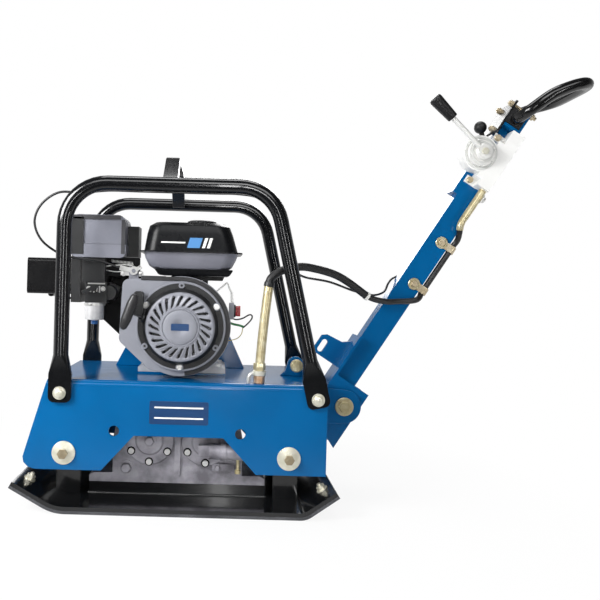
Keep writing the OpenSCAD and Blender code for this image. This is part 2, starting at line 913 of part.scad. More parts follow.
// Engine: crankcase with a sloping cylinder to the front
slope = 155;
deck_face = 70;
case_y = [-48, 84];
case_wall = 12;
journal_r = 16;
function slope_pt(s, w) = [s * cos(slope) - w * sin(slope), crank_z + s * sin(slope) + w * cos(slope)];
module in_cylinder() {
    translate([0, 0, crank_z])
        rotate([0, -slope, 0])
            children();
}
module case_outline() {
    top = slope_pt(deck_face, -50);
    low = slope_pt(deck_face, 50);
    polygon([[pad_x[0], engine_z], [pad_x[1], engine_z], [pad_x[1], engine_z + 10], [74, engine_z + 18],
        [80, crank_z - 40], [86, crank_z], [74, crank_z + 52], [52, crank_z + 70],
        [top[0] + 12, crank_z + 70],
        top, low, [-72, engine_z + 22], [pad_x[0], engine_z + 10]]);
}
module crankcase() {
    color(steel)
        difference() {
            xz(case_y[0], case_y[1])
                case_outline();
            translate([0, 0, crank_z]) {
                ycyl(60, case_y[0] + case_wall, case_y[1] - case_wall);
                ycyl(journal_r + fit, case_y[0] - 1, case_y[1] + 1);
            }
            for (x = [-engine_bolt_x, engine_bolt_x])
                for (y = engine_bolt_y) {
                    translate([x, y, engine_z - 1])
                        cylinder(r = 4 + hole_gap, h = 30);
                    translate([x, y, engine_z + 10])
                        cylinder(r = 13, h = 40);
                }
        }
}

head_y = [-36, 66];
module cylinder_head() {
    color(black) {
        in_cylinder() {
            box([deck_face, -30, -44], [150, 60, 44]);
            for (i = [0:6])
                box([deck_face + 5 + 11 * i, -40, -52], [deck_face + 9 + 11 * i, 70, 52]);
            box([150, head_y[0], -50], [182, head_y[1], 50]);
            box([182, -22, -36], [203, 52, 36]);
            translate([166, 0, 30])
                rotate([0, 45, 0])
                    translate([0, 15, 0])
                        cylinder(r = 9, h = 34);
        }
    }
}

shroud_y = [fan_y1 + gap, head_y[0] - 5];
carb_x = -186;
module cooling_shroud() {
    rim = [[-64, engine_z + 15], [-178, crank_z + 10], [-192, crank_z + 60], [-160, crank_z + 103],
        [-40, crank_z + 103]];
    color(black)
        difference() {
            xz(shroud_y[0], shroud_y[1])
                polygon(concat(rim, [[-40, engine_z + 15]]));
            xz(case_y[0], case_y[1])
                case_outline();
            box([carb_x - 50, shroud_y[0] - 1, 404], [carb_x + 54, shroud_y[1] + 1, 512]);
            translate([0, 0, crank_z])
                ycyl(85, shroud_y[0] - 1, shroud_y[1] + 1);
        }
}

// Fan cover: grey shell round the flywheel, carrying the starter
module fan_outline(inset) {
    offset(r = 14 - inset)
        offset(delta = -14) {
            translate([0, crank_z])
                circle(fan_r);
            polygon([[0, crank_z + fan_r - 2], [-122, crank_z + 94], [-127, crank_z - 33],
                [-62, crank_z - 92],
                [0, crank_z - fan_r + 2]]);
        }
}
module at_starter_bolts() {
    translate([0, 0, crank_z])
        for (a = [30, 150, 270])
            rotate([0, -a, 0])
                translate([starter_bolt_r, 0, 0])
                    children();
}
module fan_cover() {
    t = 3;
    color(grey)
        difference() {
            union() {
                xz(fan_y0, fan_y1)
                    difference() {
                        fan_outline(0);
                        fan_outline(t);
                    }
                xz(fan_y0, fan_y0 + t)
                    fan_outline(1);
                translate([0, 0, crank_z])
                    ycyl(flange_r + 1, rim_y, fan_y0 + 1);
                box([arm_at[0] - 10, arm_y[1] + 1, crank_z + 88],
                    [arm_at[0] + 10, arm_y[1] + 5, arm_at[1] + 8]);
                translate([arm_at[0], 0, arm_at[1]])
                    ycyl(4, arm_y[0] - 2, arm_y[1] + 2);
                box([fan_r - 4, -112, crank_z + 16], [fan_r + 6, -72, crank_z + 50]);
            }
            translate([0, 0, crank_z])
                ycyl(recoil_r + gap, rim_y - 1, fan_y0 + 20);
            at_starter_bolts()
                ycyl(3 + hole_gap, rim_y - 1, fan_y0 + 20);
        }
}

// Recoil starter: dished cover with a screw flange, swirled slots and the rope eye
recoil_front = rim_y - 28;
dish_r = 68;
rope_from = [-70, -141, crank_z + 13];
grip_at = [-102, -175, crank_z + 29];
rope_dir = unit(grip_at - rope_from);
rope_r = 2.5;
module along_rope(from, r, h) {
    translate(rope_from + rope_dir * from)
        rotate([0, acos(rope_dir[2]), atan2(rope_dir[1], rope_dir[0])])
            cylinder(r = r, h = h);
}
module recoil_cover() {
    tab_y = rim_y - 3;
    color(grey)
        difference() {
            union() {
                translate([0, 0, crank_z]) {
                    turned_y([[recoil_r - 3, fan_y0 + 2], [recoil_r, fan_y0 + 2], [recoil_r, rim_y],
                        [flange_r, rim_y], [flange_r, tab_y], [recoil_r, tab_y], [recoil_r, rim_y - 12],
                        [dish_r + 2, recoil_front + 4], [dish_r - 3, recoil_front], [39, recoil_front],
                        [36, recoil_front - 3], [0, recoil_front - 3], [0, recoil_front + 3],
                        [dish_r - 4, recoil_front + 3], [dish_r - 1, recoil_front + 6],
                        [recoil_r - 3, rim_y - 11]]);
                    ycyl(8, recoil_front, recoil_front + 22);
                }
                difference() {
                    along_rope(3, 6, 15);
                    translate([0, 0, crank_z])
                        ycyl(recoil_r - 2, rim_y - 20, fan_y0);
                }
            }
            translate([0, 0, crank_z])
                for (a = [0:15:345])
                    rotate([0, a, 0])
                        translate([52, recoil_front, 0])
                            rotate([0, 28, 0])
                                translate([-9, -4, -2.6])
                                    cube([18, 12, 5.2]);
            along_rope(-10, rope_r + 0.8, 60);
            at_starter_bolts()
                ycyl(3 + hole_gap, tab_y - 1, rim_y + 1);
        }
}

// Screws of the bearing covers
module cover_screws() {
    head = 5;
    at_shafts()
        for (a = [30:60:330])
            rotate([0, a, 0])
                translate([cover_r - 7, 0, 0]) {
                    turned_y([[0, house_near - cover_t - head], [6, house_near - cover_t - head],
                        [6, house_near - cover_t], [3, house_near - cover_t], [3, house_near + 14],
                        [0, house_near + 14]]);
                    turned_y([[0, house_far + cover_t + head], [0, house_far - 14], [3, house_far - 14],
                        [3, house_far + cover_t], [6, house_far + cover_t],
                        [6, house_far + cover_t + head]]);
                }
}

// Screws of the covers, the starter and the engine feet
module machine_screws() {
    tab_y = rim_y - 3;
    washer_r = starter_bolt_r - recoil_r - gap;
    color(steel) {
        cover_screws();
        at_starter_bolts()
            turned_y([[0, tab_y - 5], [5, tab_y - 5], [5, tab_y - 1.5], [washer_r, tab_y - 1.5],
                [washer_r, tab_y],
                [3, tab_y], [3, fan_y0 + 14], [0, fan_y0 + 14]]);
        for (x = [-engine_bolt_x, engine_bolt_x])
            for (y = engine_bolt_y)
                translate([x, y, 0]) {
                    translate([0, 0, deck_under - 4])
                        cylinder(r = 4, h = engine_z + 10 - deck_under + 4);
                    translate([0, 0, engine_z + 10])
                        cylinder(r = 9, h = 2);
                    translate([0, 0, engine_z + 12])
                        cylinder(r = 7.5, h = 7, $fn = 6);
                    translate([0, 0, deck_under - 10])
                        cylinder(r = 7.5, h = 10, $fn = 6);
                }
    }
}

starter_y = [recoil_front + 5, recoil_front + 19];
drum_r = 35;
module starter_pulley() {
    color(black)
        translate([0, 0, crank_z])
            turned_y([[8 + fit, starter_y[0]], [58, starter_y[0]], [58, starter_y[0] + 3],
                [drum_r, starter_y[0] + 5],
                [drum_r, starter_y[1] - 5], [58, starter_y[1] - 3], [58, starter_y[1]],
                [8 + fit, starter_y[1]]]);
}

// Pull grip on its rope, beside the starter
grip_r = 10.5;
module starter_grip() {
    bar = unit([0.33, 0, 0.94]);
    half = 30;
    color(black)
        hull()
            for (p = [[-half, 8], [-half + 14, grip_r], [half - 14, grip_r], [half, 8]])
                translate(grip_at + bar * p[0])
                    sphere(r = p[1], $fn = 24);
}

module starter_rope() {
    color(black)
        along_rope(0, rope_r, norm(grip_at - rope_from) - grip_r - 0.2);
}

// Crankshaft along Y with two webs and the crank pin
crank_end = belt_y0 + belt_w + 12;
module crankshaft() {
    web_y = [[-20, -6], [38, 52]];
    throw = 27;
    color(steel)
        translate([0, 0, crank_z]) {
            ycyl(10, fan_y0 + 8, case_y[0] - 4);
            ycyl(journal_r, case_y[0] - 4, web_y[0][0]);
            ycyl(journal_r, web_y[1][1], case_y[1] + 4);
            ycyl(10, case_y[1] + 4, crank_end);
            for (w = web_y)
                ycyl(46, w[0], w[1]);
            translate([throw, 0, 0])
                ycyl(14, web_y[0][1], web_y[1][0]);
        }
}

module flywheel() {
    disc_y = [-78, -56];
    color(steel)
        translate([0, 0, crank_z])
            difference() {
                union() {
                    ycyl(76, disc_y[0], disc_y[1]);
                    turned_y([[0, fan_y0 + 12], [40, fan_y0 + 12], [46, disc_y[0]], [0, disc_y[0]]]);
                    for (a = [0:24:336])
                        rotate([0, a, 0])
                            translate([44, disc_y[0] - 24, -2])
                                cube([44, 24 + eps, 4]);
                }
                ycyl(10 + fit, fan_y0, disc_y[1] + 1);
                ycyl(34, fan_y0, fan_y0 + 30);
            }
}

module clutch_pulley() {
    color(black)
        translate([0, 0, crank_z])
            grooved(clutch_belt_r, 10 + fit, case_y[1] + 14, clutch_belt_r + 4);
}

// Fuel tank: two pressed halves with a seam flange, on two legs
tank_low = crank_z + fan_r + 13;
tank_seam = tank_low + 36;
tank_top = tank_low + 100;
sump_z = tank_low - 20;
module tank_slab(a, b, z, r) {
    translate([0, 0, z])
        linear_extrude(eps)
            round_rect(a, b, r);
}
module tank_form(s) {
    hull() {
        tank_slab([-60 + s, -112 + s], [90 - s, 18 - s], tank_low + s, 26);
        tank_slab([-72 + s, -121 + s], [103 - s, 25 - s], tank_low + 8 + s, 28);
        tank_slab([-80 + s, -127 + s], [111 - s, 30 - s], tank_seam - 12, 30);
        tank_slab([-83 + s, -129 + s], [115 - s, 32 - s], tank_seam, 30);
        tank_slab([-77 + s, -125 + s], [103 - s, 28 - s], tank_top - 24, 30);
        tank_slab([-73 + s, -120 + s], [97 - s, 24 - s], tank_top - 8 - s, 30);
        tank_slab([-61 + s, -106 + s], [84 - s, 10 - s], tank_top - s, 26);
    }
    xz(-40 + s, 12 - s)
        polygon([[-32 + s, tank_low + 9], [98 - s, tank_low + 9], [84 - s, sump_z + s],
            [-27 + s, sump_z + s]]);
}
module fuel_tank() {
    neck = 24;
    color(black)
        difference() {
            union() {
                tank_form(0);
                translate([0, 0, tank_seam])
                    linear_extrude(3)
                        round_rect([-92, -135], [124, 38], 34);
                translate([cap_x, cap_y, tank_top - 6])
                    cylinder(r = neck, h = 8);
                for (x = [-26, 40])
                    box([x, -26, crank_z + 70], [x + 12, 4, sump_z + 1]);
            }
            tank_form(2.5);
            translate([cap_x, cap_y, tank_top - 12])
                cylinder(r = neck - 3, h = 20);
        }
}

module fuel_cap() {
    z = tank_top + 2;
    color(black)
        difference() {
            translate([cap_x, cap_y, z])
                rotate_extrude()
                    polygon([[0, 0], [31, 0], [32, 1.5], [31, 5], [26, 7], [0, 8]]);
            for (a = [0:20:340])
                translate([cap_x, cap_y, z + 1])
                    rotate([0, 0, a])
                        translate([33, 0, 0])
                            cylinder(r = 2.4, h = 16);
        }
}

// Air cleaner: base and cover with a duct towards the tank
cleaner_z = tank_low + 18;
module air_cleaner() {
    y = [-105, -10];
    seam = cleaner_z + 32;
    color(grey) {
        xz(y[0], y[1])
            difference() {
                round_rect([-238, cleaner_z + 4], [-121, cleaner_z + 60], 14);
                translate([-260, seam - gap / 2])
                    square([200, 80]);
            }
        xz(y[0] + 2, y[1] - 2)
            difference() {
                round_rect([-236, cleaner_z], [-123, cleaner_z + 94], 16);
                translate([-260, cleaner_z - 20])
                    square([200, seam + gap / 2 - cleaner_z + 20]);
            }
        box([-200, -80, seam - gap], [-150, -40, seam + gap]);
        box([-124, -62, cleaner_z + 8], [-99, -12, cleaner_z + 74]);
        box([-238, -84, 408], [-218, -22, cleaner_z + 12]);
        for (z = [414:12:486])
            box([-241, -84, z], [-238, -22, z + 5]);
    }
}

// Carburettor with its float bowl, drain screw and intake elbow
carb_y = -76;
module carburettor() {
    color(steel)
        difference() {
            union() {
                box([carb_x - 20, -94, 408], [carb_x + 26, -46, 452]);
                in_cylinder()
                    box([156, -60, -12], [181, head_y[0], 20]);
                box([carb_x - 26, -100, 452], [carb_x + 22, -48, cleaner_z + 4]);
                translate([carb_x - 2, carb_y, 372])
                    cylinder(r = 20, h = 36);
                translate([carb_x - 2, carb_y, 364])
                    cylinder(r = 6, h = 9, $fn = 6);
                translate([carb_x + 30, 0, 430])
                    ycyl(15, -90, -46);
            }
            translate([carb_x, 0, 440])
                ycyl(3 + fit, -95, -84);
        }
}

choke_at = [carb_x, 440];
module choke_lever() {
    color(black)
        translate([choke_at[0], 0, choke_at[1]]) {
            ycyl(3, -110, -86);
            xz(-110, -107)
                union() {
                    circle(7);
                    rotate(205)
                        translate([0, -4])
                            square([26, 8]);
                }
        }
}

// Muffler in front of the cylinder, with its pipe to the head
module muffler() {
    a = [-340, -55, 424];
    b = [-250, 100, 502];
    pipe_y = 82;
    head = slope_pt(166, 0);
    color(black)
        difference() {
            union() {
                translate([a[0], 0, 0])
                    rotate([90, 0, 90])
                        linear_extrude(b[0] - a[0])
                            round_rect([a[1], a[2]], [b[1], b[2]], 8);
                for (y = [-40:20:80])
                    box([a[0] - 3, y, a[2] + 10], [a[0] + 1, y + 10, b[2] - 10]);
                translate([0, pipe_y, head[1]])
                    xcyl(12, b[0] - 1, head[0]);
                translate([head[0], 0, head[1]]) {
                    ycyl(12, head_y[1], pipe_y);
                    ycyl(20, head_y[1], head_y[1] + 7);
                    translate([0, pipe_y, 0])
                        sphere(r = 12);
                }
                translate([a[0] + 20, 0, a[2] - 2])
                    ycyl(7, b[1] - 20, b[1] + 16);
            }
            translate([a[0] + 20, 0, a[2] - 2])
                ycyl(5, b[1] - 10, b[1] + 17);
        }
}

// Speed arm on the fan cover, moved by the throttle cable
module throttle_arm() {
    color(steel)
        translate([arm_at[0], 0, arm_at[1]])
            xz(arm_y[0], arm_y[1])
                difference() {
                    union() {
                        circle(9);
                        rotate(168)
                            translate([0, -5])
                                square([30, 10]);
                        rotate(30)
                            translate([0, -4])
                                square([18, 8]);
                    }
                    circle(4 + fit);
                }
}

// Red stop switch on the right of the fan cover
switch_at = [fan_r + 6, -92, crank_z + 33];
module engine_switch() {
    color([0.7, 0.05, 0.05])
        translate([0, switch_at[1], switch_at[2]]) {
            xcyl(11, switch_at[0], switch_at[0] + 7);
            box([switch_at[0] + 7, -4, -11], [switch_at[0] + 14, 4, 11]);
        }
}

// Belt guard: back plate on the engine side and cover on the far side
module guard_outline(inset) {
    offset(delta = -inset)
        polygon([[-163, deck_z - inset], [-95, 390], [-62, 428], [44, 428], [80, 386],
            [142, deck_z - inset]]);
}
module belt_guard() {
    t = 2.5;
    color(blue) {
        xz(guard_y0, guard_y0 + 3)
            difference() {
                guard_outline(0);
                translate([0, crank_z])
                    circle(34);
            }
        xz(guard_y0 + 3, guard_y1)
            difference() {
                guard_outline(0);
                guard_outline(t);
            }
        xz(guard_y1 - t, guard_y1)
            difference() {
                guard_outline(1);
                for (x = [-40:16:40])
                    translate([x - 3, 300])
                        square([6, 40]);
            }
    }
}

// Handle: yoke on the pivot, square post, lock lug and saddle for the loop
module at_clamp_bolts() {
    for (p = [[clamp_u[0], -10], [clamp_u[1], -32], [clamp_u[1], 32]])
        translate([p[0], p[1], 0])
            children();
}
tab_u = [pin_u - 53, pin_u + 59];
lever_pivot = [pin_u + 32, 30];
module handle_post() {
    cheek_t = 6;
    saddle_t = 6;
    saddle_half = block_half - 2;
    saddle_n = block_n - block_side / 2;
    bush_r = 18;
    lug_top = lock_u + 27;
    color(blue)
        in_handle()
            difference() {
                union() {
                    for (y = [-yoke_half, yoke_half - cheek_t])
                        xz(y, y + cheek_t)
                            polygon([[50, web_n], [50, -33], [-89, -33], [-53, web_n]]);
                    box([-53, -yoke_half, web_n], [147, yoke_half, web_n + web_t]);
                    ycyl(bush_r, -yoke_half, yoke_half);
                    difference() {
                        box([25, -post_wid / 2, -2], [post_top, post_wid / 2, web_n]);
                        box([20, -post_wid / 2 + post_wall, -2 + post_wall],
                            [post_top + 10, post_wid / 2 - post_wall, web_n - post_wall]);
                    }
                    xz(-lug_t / 2, lug_t / 2)
                        polygon([[63, web_n + web_t], [63, lock_n + 8], [72, lock_n + 14],
                            [lug_top - 8, lock_n + 14],
                            [lug_top, lock_n + 4], [lug_top + 4, web_n + 24], [130, web_n + web_t]]);
                    box([post_top, -saddle_half, saddle_n - saddle_t],
                        [post_top + saddle_t, saddle_half, block_n + block_side / 2 - gap]);
                    box([post_top, -saddle_half, saddle_n - saddle_t],
                        [clamp_end, saddle_half, saddle_n - gap]);
                    translate([lever_pivot[0], 0, lever_pivot[1]])
                        ycyl(6, post_wid / 2 - 1, post_wid / 2 + 10);
                    box([pin_u - 92, -post_wid / 2, web_n], [pin_u - 36, post_wid / 2, web_n + 11]);
                }
                ycyl(bolt_r + 4.5, -60, 60);
                xz(-20, 20)
                    for (u = [lock_u - 9:3:lock_u + 9])
                        translate([u, lock_n])
                            circle(lock_r + 1);
                for (u = tab_u)
                    translate([u, 0, 43])
                        ycyl(3 + hole_gap, -post_wid, 0);
                for (u = clip_u)
                    translate([u, 0, 16])
                        ycyl(3 + hole_gap, -post_wid, 0);
                at_clamp_bolts()
                    cylinder(r = 4 + hole_gap, h = 200, center = true);
            }
}

module pivot_bushes() {
    color(gold)
        in_handle()
            difference() {
                ycyl(bolt_r + 4.4, -yoke_half, yoke_half);
                ycyl(bolt_r + fit, -yoke_half - 1, yoke_half + 1);
            }
}

// Hand pump on the post: rack bore along the post and a round boss for the pinion
pump_y = [-52, -post_wid / 2];
pump_u = [pin_u - 60, post_top - 3];
pump_mid = (pump_y[0] + pump_y[1]) / 2;
boss_r = 39;
module pump_body() {
    color(white)
        in_handle()
            difference() {
                union() {
                    box([pump_u[0], pump_y[0], -1], [pump_u[1], pump_y[1], 29]);
                    translate([pin_u, 0, pin_n])
                        ycyl(boss_r, pump_y[0], pump_y[1]);
                    box([pin_u - 34, pump_y[0], 20], [pin_u + 34, pump_y[1], 50]);
                    box([pin_u - 45.5, pump_y[0], 20], [pin_u + 45.5, pump_y[1], 41]);
                    for (u = tab_u)
                        box([u - 8, pump_y[1] - 5, 20], [u + 8, pump_y[1], 52]);
                    translate([0, pump_mid, 8])
                        difference() {
                            xcyl(8, pump_u[0] - 72, pump_u[0]);
                            xcyl(3, pump_u[0] - 80, pump_u[0] + 1);
                        }
                }
                translate([0, pump_mid, rack_n])
                    xcyl(rack_r, pump_u[0] + 6, pump_u[1] - 6);
                translate([pin_u, 0, pin_n]) {
                    ycyl(boss_r - 5, pump_y[0] + 6, pump_y[1] - 6);
                    ycyl(8 + fit, pump_y[0] - 1, pump_y[1] - 6);
                }
                box([pin_u - 42.5, pump_mid - 7.5, rack_n], [pin_u + 42.5, pump_mid + 7.5, 38]);
                box([pin_u - 33, pump_mid - 10, rack_n], [pin_u + 33, pump_mid + 10, pin_n]);
                for (u = tab_u)
                    translate([u, 0, 43])
                        ycyl(3 + hole_gap, -post_wid * 2, 0);
            }
}

// Toothed piston moved by the pinion of the direction lever
module rack_piston() {
    pitch = PI * pin_module;
    line_n = pin_n - pin_r;
    color(steel)
        in_handle()
            union() {
                translate([0, pump_mid, rack_n]) {
                    xcyl(rack_r - fit, pin_u - 34, pin_u - 24);
                    xcyl(rack_r - fit, pin_u + 24, pin_u + 34);
                    intersection() {
                        xcyl(rack_r - fit, pin_u - 25, pin_u + 25);
                        box([0, -20, -20], [900, 20, 6]);
                    }
                }
                xz(pump_mid - 6, pump_mid + 6)
                    difference() {
                        translate([pin_u - 24, rack_n])
                            square([48, line_n + 2.8 - rack_n]);
                        for (k = [-3:3])
                            translate([pin_u + k * pitch, line_n])
                                polygon([[-1.3, -4.4], [1.3, -4.4], [4.7, 4.4], [-4.7, 4.4]]);
                    }
            }
}

// Direction lever with its pinion; the rod leans out of the upper face of the post
lever_dir = 77;
rod_y = -72;
rod_len = 98;
module direction_lever() {
    color(steel)
        in_handle()
            translate([pin_u, 0, pin_n]) {
                turned_y([[0, rod_y - 9], [6, rod_y - 9], [6, rod_y - 5], [14, rod_y - 5], [15, rod_y - 4],
                    [15, pump_y[0] - 10], [28, pump_y[0] - 10], [30, pump_y[0] - 8], [30, pump_y[0] - gap],
                    [8, pump_y[0] - gap], [8, pump_y[1] - 8], [0, pump_y[1] - 8]]);
                xz(pump_mid - 7, pump_mid + 7)
                    rotate(-90)
                        gear_2d(pin_module, pin_teeth, 0.5);
                translate([0, rod_y, 0])
                    rotate([0, 90 - lever_dir, 0])
                        cylinder(r = 5.5, h = rod_len + 40);
            }
}

module lever_grip() {
    color(black)
        in_handle()
            translate([pin_u, rod_y, pin_n])
                rotate([0, 90 - lever_dir, 0])
                    translate([0, 0, rod_len])
                        rotate_extrude()
                            polygon([[5.5 + fit, 0], [10.5, 0], [11.3, 2], [14, 53], [13.4, 57],
                                [11.5, 59], [0, 59.5],
                                [0, 40 + gap], [5.5 + fit, 40 + gap]]);
}

// Throttle lever on the far side of the post, with a ball knob
ball_at = lever_pivot + [45, 48];
ball_r = 14;
module throttle_lever() {
    y = [post_wid / 2 + 3, post_wid / 2 + 7];
    v = ball_at - lever_pivot;
    color(black)
        in_handle()
            difference() {
                union() {
                    translate([lever_pivot[0], 0, lever_pivot[1]])
                        xz(y[0], y[1]) {
                            circle(12);
                            rotate(atan2(v[1], v[0]))
                                translate([0, -5])
                                    square([norm(v), 10]);
                        }
                    translate([ball_at[0], (y[0] + y[1]) / 2, ball_at[1]])
                        sphere(r = ball_r);
                }
                translate([lever_pivot[0], 0, lever_pivot[1]])
                    ycyl(6 + fit, y[0] - 1, y[1] + 1);
            }
}

// Rubber block that holds the loop, clamped in the saddle
loop_r = 12.5;
loop_at = handle_pt([block_u, 0, block_n]);
module loop_block() {
    half = block_side / 2;
    color(black)
        in_handle()
            difference() {
                box([block_u - half, -block_half, block_n - half],
                    [block_u + half, block_half, block_n + half]);
                translate([block_u, 0, block_n])
                    ycyl(loop_r + 0.2, -60, 60);
            }
}

loop_half_pts = [[0, 62, 0], [14, loop_half - 12, 11], [52, loop_half, 40], [95, loop_half, 59],
    [124, loop_half - 8, 67], [140, loop_half - 36, 70]];
module handle_loop() {
    near = [for (p = loop_half_pts) [p[0], -p[1], p[2]]];
    pts = concat([[0, 0, 0], [0, 23, 0], [0, 46, 0]], loop_half_pts, [[143, 0, 71]], reversed(near),
        [[0, -46, 0], [0, -23, 0]]);
    color(black)
        translate(loop_at)
            cord_loop(smooth_loop(pts, 4), loop_r, 16);
}

// Clamp plate with bolts, pump screws and hose clips
module handle_fixings() {
    top = block_n + block_side / 2;
    clip_t = 2;
    color(gold)
        in_handle() {
            difference() {
                box([clamp_u[0] - 9, -block_half, top], [clamp_end, block_half, top + 5]);
                at_clamp_bolts()
                    cylinder(r = 4 + hole_gap, h = 90);
            }
            for (u = tab_u)
                translate([u, 0, 43])
                    turned_y([[0, pump_y[1] - 11], [6, pump_y[1] - 11], [7, pump_y[1] - 10],
                        [7, pump_y[1] - 5],
                        [3, pump_y[1] - 5], [3, pump_y[1] + 3], [0, pump_y[1] + 3]]);
            for (u = clip_u) {
                translate([u, 0, 16])
                    turned_y([[0, pump_y[1] - 8], [6, pump_y[1] - 8], [7, pump_y[1] - 7],
                        [7, pump_y[1] - clip_t],
                        [3, pump_y[1] - clip_t], [3, pump_y[1] + 3], [0, pump_y[1] + 3]]);
                difference() {
                    union() {
                        box([u - 8, pump_y[1] - clip_t, hose_n], [u + 8, pump_y[1], 26]);
                        translate([0, hose_y, hose_n])
                            xcyl(hose_r + 1 + clip_t, u - 8, u + 8);
                    }
                    translate([0, hose_y, hose_n])
                        xcyl(hose_r + 1, u - 9, u + 9);
                    box([u - 9, -post_wid / 2, -2 - gap], [u + 9, post_wid / 2, 60]);
                    translate([u, 0, 16])
                        ycyl(3 + hole_gap, -post_wid, 0);
                }
            }
            at_clamp_bolts() {
                translate([0, 0, top - 12])
                    cylinder(r = 4, h = 27);
                translate([0, 0, top + 5])
                    cylinder(r = 7.5, h = 7, $fn = 6);
            }
            for (y = [-32, 32])
                translate([clamp_u[1], y, 0]) {
                    translate([0, 0, -2])
                        cylinder(r = 4, h = top - 2);
                    translate([0, 0, 4])
                        cylinder(r = 7.5, h = 8 - gap, $fn = 6);
                }
        }
}

// Hose from the riser to the pump
riser_top = [178, -146, 455];
module hydraulic_hose() {
    last_u = pump_u[0] - 72 - gap;
    color(black)
        cord(smooth([riser_top + [0, 0, 2 * gap], [182, -146, 470], [202, -141, 485], [232, -128, 494],
            [268, -112, 494], [332, -80, 478], [397, -58, 438], [440, -46, 427], handle_pt([258, -35, 26]),
            handle_pt([272, -31, 6]), handle_pt([284, -27.5, -7]), handle_pt([294, -19, hose_n]),
            handle_pt([303, hose_y, hose_n]), handle_pt([clip_u[0], hose_y, hose_n]),
            handle_pt([360, hose_y, hose_n]), handle_pt([clip_u[1], hose_y, hose_n]),
            handle_pt([430, hose_y, hose_n]), handle_pt([446, -20, hose_n + 1]), handle_pt([460, -31, -2]),
            handle_pt([472, pump_mid, 6]), handle_pt([482, pump_mid, 8]),
            handle_pt([last_u, pump_mid, 8])], 4),
            hose_r, 10);
}

// Throttle cable: from the speed arm round the hoop to the lever on the handle
cable_r = 2.4;
module throttle_cable() {
    y = -hoop_y + tube_r + cable_r + 1.2;
    low = (tube_r + cable_r + 1.2) * sqrt(0.5);
    bar = [0, -hoop_y + low, hoop_z - low];
    color(black)
        cord(smooth([[arm_at[0] - 30, arm_y[0] - cable_r - 1, arm_at[1] + 6], [-175, -108, 497],
            [-215, -113, 500],
            [-250, -128, 507], [-286, -146, 533], [-301, -152, 570], [-288, -154, 606], [-252, y, 631],
            [-205, y + 2, 632], [-150, 0, 0] + bar, [-90, 0, 0] + bar, [-20, 0, 0] + bar, [60, 0, 0] + bar,
            [110, 0, 0] + bar, [150, y, 631], [184, y, 606],
            [200, y, 572], [216, y, 505], [232, -146, 484], [256, -118, 474], [312, -80, 466],
            [372, -46, 448],
            [418, -20, 440], handle_pt([262, 0, 57]), handle_pt([284, 15, 56]), handle_pt([300, 25, 53]),
            handle_pt([316, 26, 44]), handle_pt([345, 25.5, 33]), handle_pt([400, 25, 29]),
            handle_pt([470, 25, 28]),
            handle_pt([540, 25, 28]), handle_pt([600, 25, 29]), handle_pt([640, 25, 30])], 3), cable_r, 8);
}

// Bent pipe from the deck to the hose
module riser_pipe() {
    color(gold) {
        translate([riser_x, riser_y, 0]) {
            translate([0, 0, deck_z])
                cylinder(r = 14, h = 5);
            translate([0, 0, deck_z + 5])
                cylinder(r = 13, h = 10, $fn = 6);
        }
        cord(smooth([[riser_x, riser_y, deck_z + 15], [riser_x + 1, riser_y, 300],
            [riser_x + 6, riser_y, 370],
            [riser_x + 12, -147, 430], riser_top], 4), 9.5, 16);
    }
}

base_plate();
paving_mat();
buffer_posts();
rubber_buffers();
frame_bolts();
exciter_housing();
bearing_covers();
exciter_bearings();
front_eccentric();
front_gear();
rear_eccentric();
rear_gear();
driven_pulley();
v_belt();
shift_cylinder();
shift_piston();
hydraulic_line();
deck();
pivot_bracket();
pivot_bolt();
handle_stop();
lock_bracket();
lock_pin();
near_hoop();
far_hoop();
lifting_arch();
crankcase();
cylinder_head();
cooling_shroud();
fan_cover();
recoil_cover();
machine_screws();
starter_pulley();
starter_grip();
starter_rope();
crankshaft();
flywheel();
clutch_pulley();
fuel_tank();
fuel_cap();
air_cleaner();
carburettor();
choke_lever();
muffler();
throttle_arm();
engine_switch();
belt_guard();
handle_post();
pivot_bushes();
pump_body();
rack_piston();
direction_lever();
lever_grip();
throttle_lever();
loop_block();
handle_loop();
handle_fixings();
hydraulic_hose();
throttle_cable();
riser_pipe();
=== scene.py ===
import json
import math

import bmesh
import bpy
from mathutils import Matrix, Vector

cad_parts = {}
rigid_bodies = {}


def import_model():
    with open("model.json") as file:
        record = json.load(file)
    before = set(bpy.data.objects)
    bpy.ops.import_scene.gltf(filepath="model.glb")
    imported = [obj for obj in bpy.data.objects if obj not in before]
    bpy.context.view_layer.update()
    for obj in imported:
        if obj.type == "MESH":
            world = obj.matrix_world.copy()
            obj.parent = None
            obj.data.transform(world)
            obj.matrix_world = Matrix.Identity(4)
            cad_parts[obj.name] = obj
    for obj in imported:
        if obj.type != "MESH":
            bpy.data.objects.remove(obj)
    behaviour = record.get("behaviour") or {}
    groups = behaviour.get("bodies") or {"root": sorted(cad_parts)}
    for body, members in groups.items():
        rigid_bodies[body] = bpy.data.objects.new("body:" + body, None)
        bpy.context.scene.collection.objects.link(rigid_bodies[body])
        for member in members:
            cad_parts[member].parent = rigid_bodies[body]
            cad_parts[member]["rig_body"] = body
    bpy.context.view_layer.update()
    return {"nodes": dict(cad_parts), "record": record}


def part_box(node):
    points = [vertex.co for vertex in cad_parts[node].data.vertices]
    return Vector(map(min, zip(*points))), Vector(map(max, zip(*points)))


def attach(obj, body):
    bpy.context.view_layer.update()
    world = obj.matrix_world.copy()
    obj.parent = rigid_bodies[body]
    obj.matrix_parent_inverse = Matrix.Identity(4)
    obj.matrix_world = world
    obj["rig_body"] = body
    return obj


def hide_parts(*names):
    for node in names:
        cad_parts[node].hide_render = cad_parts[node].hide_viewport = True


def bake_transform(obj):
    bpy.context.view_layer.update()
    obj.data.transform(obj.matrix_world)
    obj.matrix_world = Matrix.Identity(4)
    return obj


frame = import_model()

